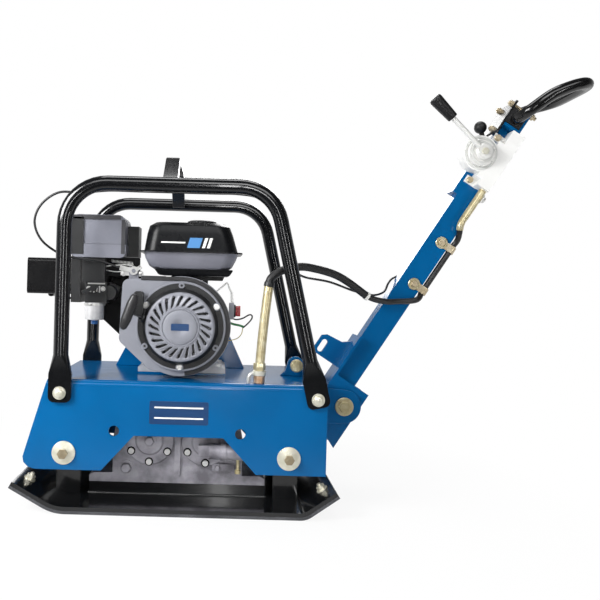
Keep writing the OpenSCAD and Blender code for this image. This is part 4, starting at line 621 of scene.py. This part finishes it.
cover_grey = grained("grained_grey_paint", "#85878f", "#797b84", 2.2, 0.42)
cleaner_grey = grained("grained_grey_nylon", "#7f818c", "#737580", 2.6, 0.5)
black_nylon = grained("moulded_black_nylon", "#1b1c1e", "#131415", 1.8, 0.42)
dress("fan_cover", cover_grey, 0.002)
# The black band laid on the rim below is painted shade, where the rim turns into shadow.
rim_shade_finish = rubber("painted_rim_shade", "#1b1b1d", "#37373a", 1.5, 0.45)
joints = frame["record"]["behaviour"]["joints"]
joint_at = {j["name"]: Vector(j["pos_m"]) / MM for j in joints if "pos_m" in j}
axle = joint_at["crank_spin"]
RIM_SHADE_R, RIM_SHADE_WIDE, RIM_SHADE_END_X, RIM_SHADE_ARC_DEG = 101.6, 8.6, -84, range(-84, 93, 3)
face_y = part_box("fan_cover")[0][1] / MM + 3.6
rim_shade_inner = RIM_SHADE_R - RIM_SHADE_WIDE
section = [(RIM_SHADE_R, 0), (RIM_SHADE_R, -1.2), (RIM_SHADE_R - 0.8, -1.8)]
section += [(rim_shade_inner + 0.8, -1.8), (rim_shade_inner, -1.2), (rim_shade_inner, 0)]
rim_shade_arc = [(math.cos(a), math.sin(a)) for a in (math.radians(d) for d in RIM_SHADE_ARC_DEG)]
bm = bmesh.new()
rim_shade_rows = []
for radius, proud in section:
    run = [(x * radius, z * radius) for x, z in rim_shade_arc] + [(RIM_SHADE_END_X, radius)]
    rim_shade_rows.append([bm.verts.new((axle.x + x, face_y + proud, axle.z + z)) for x, z in run])
for low, high in zip(rim_shade_rows, rim_shade_rows[1:] + rim_shade_rows[:1]):
    for i in range(len(low) - 1):
        bm.faces.new((low[i], low[i + 1], high[i + 1], high[i]))
for end in (0, -1):
    bm.faces.new([row[end] for row in rim_shade_rows])
bm.transform(Matrix.Scale(MM, 4))
finished(bm, "fan_cover_rim_shade", "fan_cover", rim_shade_finish)

# Recoil cover: a dished disc whose slots lean like louvres, in a ring painted black as shade, with screw tabs.
# It is drawn as rings of points; each ring is turned on a little, so the slots run as spirals.
# A plain navy panel lies on its middle.
dish_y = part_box("recoil_cover")[0][1] / MM + 3
RECOIL = [(0.4, -3), (33, -3), (34, -2.4), (34.6, -0.6), (35.8, -0.6), (36.4, -1.8), (38.2, -1.8), (39.4, 0)]
RECOIL += [(42, 0), (44, 0), (48, 0), (53, 0), (58, 0), (61.5, 0), (63.5, 0), (66, 0), (69, 1.4), (70.4, 4)]
RECOIL += [(71, 7), (77, 16), (77, 25), (88, 25), (88.6, 24), (91, 24), (91.7, 24.8), (91.7, 28)]
LOUVRES, COLUMNS, OPEN = 24, 9, 4
SLOT_ROWS, SPIRAL_ROWS, SPIRAL_MIDDLE = (42, 63.5), (39.4, 66), 52
LOUVRE_LIFT = {OPEN: -2.0, OPEN + 1: -1.2, OPEN + 2: -0.5, 0: 1.4, COLUMNS - 1: 0.6}
lean = math.tan(math.radians(28))
bm = bmesh.new()
grid = []
for radius, depth in RECOIL:
    turn = lean * math.log(min(max(radius, SPIRAL_ROWS[0]), SPIRAL_ROWS[1]) / SPIRAL_MIDDLE)
    row = []
    for i in range(LOUVRES * COLUMNS):
        angle = 2 * math.pi * i / (LOUVRES * COLUMNS) - turn
        lift = 0.0
        if SLOT_ROWS[0] < radius < SLOT_ROWS[1]:
            lift = LOUVRE_LIFT.get(i % COLUMNS, 0.0)
        x, z = axle.x + radius * math.cos(angle), axle.z + radius * math.sin(angle)
        row.append(bm.verts.new((x, dish_y + depth + lift, z)))
    grid.append((radius, row))
for (inner, low), (outer, high) in zip(grid, grid[1:]):
    for i in range(len(low)):
        column, j = i % COLUMNS, (i + 1) % len(low)
        inside = SLOT_ROWS[0] <= inner and outer <= SLOT_ROWS[1]
        at_end = inner == SLOT_ROWS[0] or outer == SLOT_ROWS[1]
        if inside and column < OPEN and (not at_end or 0 < column < OPEN - 1):
            continue
        bm.faces.new((low[i], low[j], high[j], high[i]))
bm.transform(Matrix.Scale(MM, 4))
recoil = finished(bm, "recoil_cover_louvred", "recoil_cover", cover_grey, 40)
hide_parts("recoil_cover")
wall = recoil.modifiers.new("wall", "SOLIDIFY")
wall.thickness, wall.offset = 0.0022, -1
settle(recoil)
recoil.data.name = recoil.name


def off_axle(point):
    """Distance of a point from the crank's line, in millimetres."""
    return math.hypot(point.x / MM - axle.x, point.z / MM - axle.z)


RING_FROM, RING_TO, TAB_CIRCLE = 70.4, 88.2, 83.7
# The sloped wall between the disc and the flange is painted black as its shade.
paint_where(recoil, black_nylon, lambda centre: RING_FROM < off_axle(centre) < RING_TO)
SCREW_TAB = [(0, 0), (8.2, 0), (8.2, 0.9), (7.4, 1.3), (0, 1.3)]
HOLE_TAB = [(2.6, 0), (2.6, 3), (5.5, 3), (6.6, 0)]
tab_y = dish_y + 25
for k, degrees in enumerate(range(30, 390, 60)):
    turn = math.radians(degrees)
    spot = axle + Vector((math.cos(turn), 0, math.sin(turn))) * TAB_CIRCLE
    spot.y = tab_y + 0.2
    tab = HOLE_TAB if k % 2 else SCREW_TAB
    lathe("starter_tab_%d" % k, "recoil_cover", cover_grey, tab, spot, NEAR, 24)
plate("rope_guide", "recoil_cover", black_nylon, (-96, -150, 386), (-77, -136, 436), 6.0)
panel_low, panel_high = (-18, dish_y - 3.4, axle.z - 7), (18, dish_y - 2.9, axle.z + 7)
plate("starter_panel", "recoil_cover", navy_film, panel_low, panel_high, 1.5)


# Pull grip and rope: a moulded T grip on a braided rope that leaves through a black eye.
# The rope is drawn in place and goes with no body.
sweep_tree, given = new_tree("sweep", Radius="Float", Sides="Int", Step="Float", Finish="Material")
route = add(sweep_tree, "GeometryNodeMeshToCurve", {"Mesh": given["Line"]})
eased = add(sweep_tree, "GeometryNodeCurveSplineType", {"Curve": route.outputs[0]}, spline_type="CATMULL_ROM")
even_steps = {"Curve": eased.outputs[0], "Length": given["Step"]}
fine = add(sweep_tree, "GeometryNodeResampleCurve", even_steps, mode="LENGTH")
circle = {"Resolution": given["Sides"], "Radius": given["Radius"]}
ring = add(sweep_tree, "GeometryNodeCurvePrimitiveCircle", circle)
tube = {"Curve": fine.outputs[0], "Profile Curve": ring.outputs[0], "Fill Caps": True}
skin = add(sweep_tree, "GeometryNodeCurveToMesh", tube)
end_tree(sweep_tree, skin.outputs[0], given["Finish"])


def sweep(name, finish, points, radius, sides=12, step=3.0):
    """A round cord, wire or pipe through a list of points in millimetres, on no body yet."""
    edges = [(i, i + 1) for i in range(len(points) - 1)]
    sizes = {"Radius": radius * MM, "Sides": sides, "Step": step * MM, "Finish": finish}
    return grow(name, sweep_tree, points, edges, sizes)


def braid(name, colour, light, pitch_mm):
    """A braided cord: fine crossing strands in the tint and the relief."""
    made, tree = new_material(name)
    place = add(tree, "ShaderNodeTexCoord").outputs["Object"]
    strands = add(tree, "ShaderNodeTexVoronoi", {"Vector": place, "Scale": 1000 / pitch_mm})
    tint = add(tree, "ShaderNodeValToRGB", {"Fac": strands.outputs["Distance"]})
    tint.color_ramp.elements[0].color, tint.color_ramp.elements[1].color = srgb(light), srgb(colour)
    strand_height = {"Height": strands.outputs["Distance"], "Strength": 0.5, "Distance": 0.0006}
    relief = add(tree, "ShaderNodeBump", strand_height)
    look = {"Base Color": tint.outputs[0], "Roughness": 0.6, "Normal": relief.outputs[0]}
    skin = add(tree, "ShaderNodeBsdfPrincipled", look)
    add(tree, "ShaderNodeOutputMaterial", {"Surface": skin.outputs[0]})
    return made


dress("starter_pulley", black_nylon, 0.0008)
dress("starter_grip", grained("moulded_grip", "#242426", "#1b1b1d", 2.2, 0.36), 0.0008)
ROPE = [(-70, -141, 379), (-78, -149.5, 383), (-86, -158, 387), (-96, -168.6, 392)]
ROPE_R, ROPE_LENGTH_M = 2.5, 0.04
rope_way = (Vector(ROPE[-1]) - Vector(ROPE[0])).normalized()
rope = sweep("starter_rope_braided", braid("black_braid", "#18181a", "#4a4a4e", 1.6), ROPE, ROPE_R, 12, 1.5)
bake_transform(rope)
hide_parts("starter_rope")
eye = [(3.4, 0), (3.4, 11), (6, 13), (8.5, 11), (9.5, 0)]
lathe("rope_eye", "recoil_cover", black_nylon, eye, Vector(ROPE[0]) + rope_way * 3, rope_way, 24)

# Fuel tank: two pressed halves with a seam flange, black, with a grey band painted on the lower half as
# reflection.
# A black block under it is painted shadow under the tank's belly; a plain line and slanted bars in blue and
# white lie on the flat of the upper half.
tank_enamel = enamel("tank_enamel", "#131416", "#0e0f11", 0.26, 0.0, 1.24)
tank = dress("fuel_tank", tank_enamel, 0.002)
tank_reflection_grey = grained("painted_tank_reflection", "#757680", "#6a6b75", 2.0, 0.34)
LOWER_HALF = (484 * MM, 517.8 * MM)
# The grey band on the lower half is painted reflection of the lit floor; the tank itself is black.
paint_where(tank, tank_reflection_grey, lambda centre: LOWER_HALF[0] < centre.z < LOWER_HALF[1])
dress("fuel_cap", black_nylon, 0.0008)
# The black block under the tank is painted shadow under its curved belly; it carries nothing.
SHADE_BLOCK = {484.6: ((-60, 106), (-122, 20)), 470.6: ((-50, 97), (-116, 16))}
shade_block = bmesh.new()
rings = []
for z, ((x0, x1), (y0, y1)) in SHADE_BLOCK.items():
    rings.append([shade_block.verts.new((x, y, z)) for x, y in ((x0, y0), (x1, y0), (x1, y1), (x0, y1))])
for i in range(4):
    shade_block.faces.new((rings[0][i], rings[0][i - 1], rings[1][i - 1], rings[1][i]))
for ring in rings:
    shade_block.faces.new(ring)
bmesh.ops.bevel(shade_block, geom=shade_block.edges[:], offset=4.0, segments=3, affect="EDGES", profile=0.5)
shade_block.transform(Matrix.Scale(MM, 4))
finished(shade_block, "tank_shadow_block", "fuel_tank", tank_enamel)
SEAM_Z, SEAM_Y, FLAT_LEAN = 518, -129, 4 / 40
BAR_SLANT, BAR_SUNK, BAR_THICK = 0.3, 0.05, 0.4


def tank_bar(name, finish, x, z):
    """A thin slanted bar on the leaning flat of the tank."""
    bm = bmesh.new()
    ring = []
    for px, pz in ((x[0], z[0]), (x[1], z[0]), (x[1], z[1]), (x[0], z[1])):
        y = SEAM_Y + FLAT_LEAN * (pz - SEAM_Z) + BAR_SUNK
        ring.append(bm.verts.new((px + BAR_SLANT * (pz - z[0]), y, pz)))
    made = bmesh.ops.extrude_face_region(bm, geom=[bm.faces.new(ring)])
    front = [v for v in made["geom"] if isinstance(v, bmesh.types.BMVert)]
    bmesh.ops.translate(bm, verts=front, vec=(0, -BAR_THICK, 0))
    bm.transform(Matrix.Scale(MM, 4))
    return finished(bm, name, "fuel_tank", finish)


tank_bar("tank_line", white_enamel, (-46, 4), (537, 540))
BAR_Z = (528, 549)
tank_bar("tank_bar_blue", enamel("sky_film", "#4f86bd", "#467ab0", 0.3, 0.3), (8, 34), BAR_Z)
for k, x in enumerate((39, 49)):
    tank_bar("tank_bar_white_%d" % k, white_enamel, (x, x + 6), BAR_Z)

# Air cleaner and carburettor: a grey moulded box with bands of painted shade on its edges, on a black duct,
# and the carburettor under it. Its float bowl is bright, with a blue nut; the choke's black plate has
# bright ribs, and rods and springs of steel wire lead to the governor.
cleaner = dress("air_cleaner", cleaner_grey, 0.002)
DUCT_TOP, CLIP_FROM_X = 503.5 * MM, -120.5 * MM
paint_where(cleaner, black_nylon, lambda centre: centre.z < DUCT_TOP or centre.x > CLIP_FROM_X)
cleaner_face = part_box("air_cleaner")[0][1] / MM
edge_shade_grey = grained("painted_edge_shade", "#3f3f43", "#333337", 2.6, 0.45)
# The bands on the box's edges are painted shade: black down the left end, dark grey along the top and the
# rear.
CLEANER_SHADE_BANDS = {
    "front": (black_nylon, (-236, -210), (510, 588)),
    "top": (edge_shade_grey, (-233, -133), (584, 592.6)),
    "rear": (edge_shade_grey, (-131, -123), (512, 584)),
}
for edge, (finish, x, z) in CLEANER_SHADE_BANDS.items():
    low, high = (x[0], cleaner_face - 0.9, z[0]), (x[1], cleaner_face + 1, z[1])
    plate("cleaner_shade_band_" + edge, "air_cleaner", finish, low, high, 0.8)
dress("choke_lever", black_nylon, 0.0006)
carburettor = dress("carburettor", black_nylon, 0.0008)
BOWL_TOP = 408.5 * MM
paint_where(carburettor, die_cast, lambda centre: centre.z < BOWL_TOP)
blue_nut = enamel("blue_nut", "#2c5f9c", "#244f86", 0.3, 0.3)
BOWL = Vector((-188, -76, 372))
nut = [(0, -9.4), (6.6, -9.4), (7.2, -8.6), (7.2, -2), (0, -2)]
lathe("bowl_nut", "carburettor", blue_nut, nut, BOWL, UP, 6)
rim = [(20, 30), (22.5, 30.4), (22.5, 34), (20, 34.4)]
lathe("bowl_rim", "carburettor", bright_steel, rim, BOWL, UP, 48)
plate("choke_plate", "carburettor", black_nylon, (-203, -95.6, 428), (-163, -94, 447), 2.0)
CHOKE_RIBS = ((-194, 431, 443), (-187, 430, 445), (-181, 432, 440), (-175, 430, 444))
for k, (x, z0, z1) in enumerate(CHOKE_RIBS):
    low, high = (x - 1.4, -97.6, z0), (x + 1.4, -95.4, z1)
    plate("choke_rib_%d" % k, "carburettor", bright_steel, low, high, 0.6)
plate("choke_bar", "carburettor", bright_steel, (-200, -97.4, 447.5), (-164, -95, 450.5), 0.8)
for k, x in enumerate((-198, -168)):
    hex_head("choke_screw_%d" % k, "carburettor", bright_steel, (x, -95.6, 438), NEAR, 6, 4)


def coil(a, b, radius, turns, per_turn=10):
    """Points of a close spring between two places."""
    a, b = Vector(a), Vector(b)
    across = (b - a).to_track_quat("Z", "Y")
    count = turns * per_turn
    points = []
    for i in range(count + 1):
        turn = 2 * math.pi * i / per_turn
        off = across @ Vector((radius * math.cos(turn), radius * math.sin(turn), 0))
        points.append(a + off + (b - a) * i / count)
    return points


GOVERNOR_ROD = [(-164, -92, 486), (-150, -94, 488), (-118, -95, 490), (-96, -95, 484)]
belong(sweep("governor_rod", bright_steel, GOVERNOR_ROD, 1.3, 8), "carburettor")
IDLE_ROD = [(-163, -90, 478), (-140, -92, 475), (-122, -94, 480), (-112, -95, 486)]
belong(sweep("idle_rod", bright_steel, IDLE_ROD, 1.1, 8), "carburettor")
SPRING_WIRE = (0.6, 6, 1.0)
governor_coil = coil((-152, -91.6, 498), (-106, -91.6, 493), 3.2, 16)
belong(sweep("governor_spring", bright_steel, governor_coil, *SPRING_WIRE), "carburettor")
plate("heat_shield", "carburettor", heat_black, (-166, -86, 466), (-92, -84, 506), 3.0)
plate("control_plate", "fan_cover", bright_steel, (-132, -94, 468), (-84, -92, 477), 2.0)
for k, x in enumerate((-126, -90)):
    hex_head("control_screw_%d" % k, "fan_cover", bright_steel, (x, -94, 472.5), NEAR, 7, 2.6)

# Stop switch: a red knob in a black bush, with its leads.
# The black lead loops back under a green sleeve, and a thin yellow lead goes to earth.
# A bent rod and a spring of steel wire beside it pull the governor back.
red_nylon = grained("moulded_red_nylon", "#b3121b", "#8f0d14", 1.5, 0.3)
dress("engine_switch", red_nylon, 0.0006)
switch = joint_at["switch_turn"]
bush = [(11.6, -1), (13.5, -1), (13.5, 3), (12.5, 4), (11.6, 4)]
lathe("switch_bush", "fan_cover", black_nylon, bush, switch, (1, 0, 0), 32)
wire_black = rubber("black_wire", "#141415", "#2a2a2c", 1.0, 0.45)
wire_green = rubber("green_sleeve", "#2e7d46", "#58a56d", 1.0, 0.5)
wire_yellow = rubber("yellow_wire", "#b7a54a", "#d9cc7c", 1.0, 0.5)
LEAD = [(106, -90, 384), (114, -92, 381), (128, -94, 384), (142, -95, 392), (148, -95, 390)]
LEAD += [(147, -95, 383), (138, -95, 372), (129, -94, 364)]
belong(sweep("switch_lead", wire_black, LEAD, 1.6, 10), "fan_cover")
SLEEVE = [(101, -92, 374), (110, -94, 371), (122, -94, 369), (131, -94, 366)]
belong(sweep("lead_sleeve", wire_green, SLEEVE, 2.4, 10), "fan_cover")
EARTH = [(129, -94, 365), (127, -94, 352), (119, -93, 342), (106, -91, 337), (97, -90, 336)]
belong(sweep("earth_lead", wire_yellow, EARTH, 0.9, 8), "fan_cover")
RETURN_ROD = [(72, -82, 440), (84, -83, 450), (94, -83, 458), (98, -83, 448), (104, -84, 436)]
belong(sweep("return_rod", bright_steel, RETURN_ROD, 1.5, 8), "fan_cover")
return_coil = coil((104, -84, 438), (106, -86, 411), 3.0, 9)
belong(sweep("return_spring", bright_steel, return_coil, *SPRING_WIRE), "fan_cover")

# Riser: a bent steel pipe in yellow chromate, from the shift cylinder up to the hose.
# A nut, a flange and a hexagon collar hold it on the deck, with a small bleed pipe beside them,
# and a black ferrule closes the hose on its top.
RISER = [(163, -148, 258), (164, -148, 300), (169, -148, 370), (175, -147, 430), (178, -146, 455)]
riser = belong(sweep("riser_pipe_bent", gold_zinc, RISER, 9.5, 24), "riser_pipe")
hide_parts("riser_pipe")
SEAT = Vector((163, -148, 256))
copper_nut = chromate("copper_chromated_nut", "#b08a68", "#c4a488", "#d8c8b2", 0.32)
nut = [(0, 0), (10, 0), (11.4, 1), (11.4, 15), (10.4, 16)]
lathe("riser_nut", "riser_pipe", copper_nut, nut, SEAT, UP, 6)
flange = [(0, 16), (13.4, 16), (14, 17), (14, 24), (13, 25.4), (9, 26)]
lathe("riser_flange", "riser_pipe", pale_zinc, flange, SEAT, UP, 40)
collar = [(9, 27), (11.6, 27), (12.4, 28), (12.4, 40), (11.6, 41), (9, 41)]
lathe("riser_collar", "riser_pipe", gold_zinc, collar, SEAT, UP, 6)
BLEED = [(160, -150, 277), (152, -151, 277.5), (144, -151, 273), (141, -151, 264), (141, -151, 256)]
belong(sweep("riser_bleed_pipe", bright_steel, BLEED, 3.8, 16, 1.5), "riser_pipe")
ferrule = [(9.6, -3), (10.6, -2.6), (10.8, 4), (9.4, 8), (0, 8)]
lathe("hose_ferrule", "riser_pipe", black_nylon, ferrule, Vector(RISER[-1]), (0.2, 0, 1), 24)

# Hose and throttle cable: each is drawn in place from the machine to the handle, on no body.
# A thicker guard sleeve covers the hose as far as a white tie.
cord_rubber = rubber("hose_rubber", "#151516", "#2c2c2e", 1.2, 0.38)
pivot = joint_at["handle_tilt"]
post_way = Vector(next(j for j in joints if j["name"] == "rack_slide")["axis"])
post_out = Vector((-post_way.z, 0, post_way.x))


def on_post(u, y, n):
    """A place on the handle: along the post from the pivot, across the machine, out from the post."""
    return pivot + post_way * u + post_out * n + Vector((0, y, 0))


def bend_with_handle(piece, node, start, end):
    """A cord drawn in place, with its transform baked in; node, start and end are not used."""
    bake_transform(piece)
    return piece


def on_hose(name, finish, points, radius, sides=16, step=3.0):
    """The hose, or a piece drawn round it, baked in place."""
    return bend_with_handle(sweep(name, finish, points, radius, sides, step), "hydraulic_hose", *hose_turn)


HOSE_N, HOSE_Y, PUMP_Y = -11.5, -13, -36
HOSE_FREE = [(178, -146, 455.8), (182, -146, 470), (202, -141, 485), (232, -128, 494), (268, -112, 494)]
HOSE_FREE += [(332, -80, 478), (397, -58, 438), (440, -46, 427)]
HOSE_HELD = [(258, -35, 26), (272, -31, 6), (284, -27.5, -7), (294, -19, HOSE_N), (303, HOSE_Y, HOSE_N)]
HOSE_HELD += [(311, HOSE_Y, HOSE_N), (360, HOSE_Y, HOSE_N), (421, HOSE_Y, HOSE_N), (430, HOSE_Y, HOSE_N)]
HOSE_HELD += [(446, -20, HOSE_N + 1), (460, -31, -2), (472, PUMP_Y, 6), (482, PUMP_Y, 8), (490.6, PUMP_Y, 8)]
hose_route = [Vector(p) for p in HOSE_FREE] + [on_post(*p) for p in HOSE_HELD]
hose_turn = (HOSE_FREE[0], on_post(311, HOSE_Y, HOSE_N))
HOSE_R, HOSE_LENGTH_M, TIE_AT = 6.4, 0.614, 6
hose = on_hose("hydraulic_hose_run", cord_rubber, hose_route, HOSE_R)
sleeve_rubber = rubber("sleeve_rubber", "#131314", "#262628", 2.4, 0.5)
sleeve = on_hose("hose_sleeve", sleeve_rubber, HOSE_FREE[: TIE_AT + 1], 8.4)
tie_nylon = grained("moulded_white_nylon", "#e6e6e2", "#d6d6d0", 1.5, 0.4)
before, middle = (Vector(HOSE_FREE[k]) for k in (TIE_AT - 1, TIE_AT))
tie_route = [middle + (middle - before).normalized() * d for d in (-3, 0, 3)]
tie = on_hose("hose_tie", tie_nylon, tie_route, 9.4, 20, 1.5)
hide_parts("hydraulic_hose")

CABLE = [(-134, -103.4, 484), (-175, -108, 497), (-215, -113, 500), (-250, -128, 507), (-286, -146, 533)]
CABLE += [(-301, -152, 570), (-288, -154, 606), (-252, -157.4, 631), (-205, -155.4, 632)]
CABLE += [(x, -162.85, 636.85) for x in (-150, -90, -20, 60, 110)]
CABLE += [(150, -157.4, 631), (184, -157.4, 606), (200, -157.4, 572), (216, -157.4, 505), (232, -146, 484)]
CABLE += [(256, -118, 474), (312, -80, 466), (372, -46, 448), (418, -20, 440)]
CABLE_HELD = [(262, 0, 57), (284, 15, 56), (300, 25, 53), (316, 26, 44), (345, 25.5, 33), (400, 25, 29)]
CABLE_HELD += [(470, 25, 28), (540, 25, 28), (600, 25, 29), (640, 25, 30)]
cable_route = [Vector(p) for p in CABLE] + [on_post(*p) for p in CABLE_HELD]
CABLE_R, CABLE_LENGTH_M = 2.4, 1.539
cable = sweep("throttle_cable_run", cord_rubber, cable_route, CABLE_R, 10, 4.0)
bend_with_handle(cable, "throttle_cable", (216, -157, 505), on_post(316, 26, 44))
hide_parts("throttle_cable")

# Handle: folded blue post with a hand pump, its levers and the rubber-mounted loop.
# The pump is painted white; its lower pipe, the hose's crimp and the clips are chromated,
# and the clamp plate that holds the loop's block is satin black.
dress("handle_post", blue_enamel, 0.0014)
pump = dress("pump_body", white_enamel, 0.002)
PIPE_END, CLAMP_FROM, CLAMP_TO = 562, 53.9, 59.2
paint_where(pump, gold_zinc, lambda centre: (centre / MM - pivot).dot(post_way) < PIPE_END)
polished = turned("polished_steel", "#efefec", "#e2e2df", 0.3, 0.3)
dress("direction_lever", polished, 0.0008)
hub = on_post(623, 0, 61)
dull_alloy = casting("sand_cast_alloy", "#dfe0dd", "#cfd0cd", 2.0, 0.45, 0.2)


def at_hub(y):
    """The lever's axis at a distance across the machine."""
    return Vector((hub.x, y, hub.z))


dial = [(30.6, 0), (30.6, 1), (33, 1.6), (35, 1.6), (36, 0.8), (36, 0)]
lathe("dial_ring", "pump_body", dull_alloy, dial, at_hub(-52), NEAR, 64)
groove = [(20, 0), (20.4, 0.7), (23.4, 0.7), (24, 0)]
lathe("hub_groove", "direction_lever", dull_alloy, groove, at_hub(-62), NEAR, 64)
eye = [(15, 0), (17.4, 1), (17.4, 8), (16, 9.4), (14, 9.4)]
lathe("lever_eye", "direction_lever", polished, eye, at_hub(-66), NEAR, 48)
bolt = [(7.6, 0), (7.6, 4), (6.6, 5), (0, 5)]
lathe("lever_bolt", "direction_lever", pale_zinc, bolt, at_hub(-77), NEAR, 6)
crimp_route = [on_post(464, -33.4, 1.4)] + [on_post(*p) for p in HOSE_HELD[-3:]]
belong(sweep("hose_crimp", gold_zinc, crimp_route, 7.7, 24, 1.5), "pump_body")
hex_head("bleed_plug", "pump_body", polished, on_post(546, -36, 0.4), -post_out, 12, 8)
paint_where(fixings, satin_black, lambda centre: CLAMP_FROM < (centre / MM - pivot).dot(post_out) < CLAMP_TO)
lobe = [(0, 0), (12.4, 0), (13.2, 0.6), (13.2, 1.8), (12.2, 2.6), (8, 2.6), (7.4, 1.6), (0, 1.6)]
for k, u in enumerate((311, 421)):
    lathe("hose_clip_lobe_%d" % k, "handle_fixings", gold_zinc, lobe, on_post(u, -22, 16), NEAR, 32)
grip_rubber = rubber("grip_rubber", "#131314", "#242426", 2.5, 0.36)
dress("lever_grip", grip_rubber, 0.001)
dress("throttle_lever", black_nylon, 0.0006)
dress("loop_block", grip_rubber, 0.001)
dress("handle_loop", enamel("loop_vinyl", "#131314", "#0e0e0f", 0.16, 0.3))
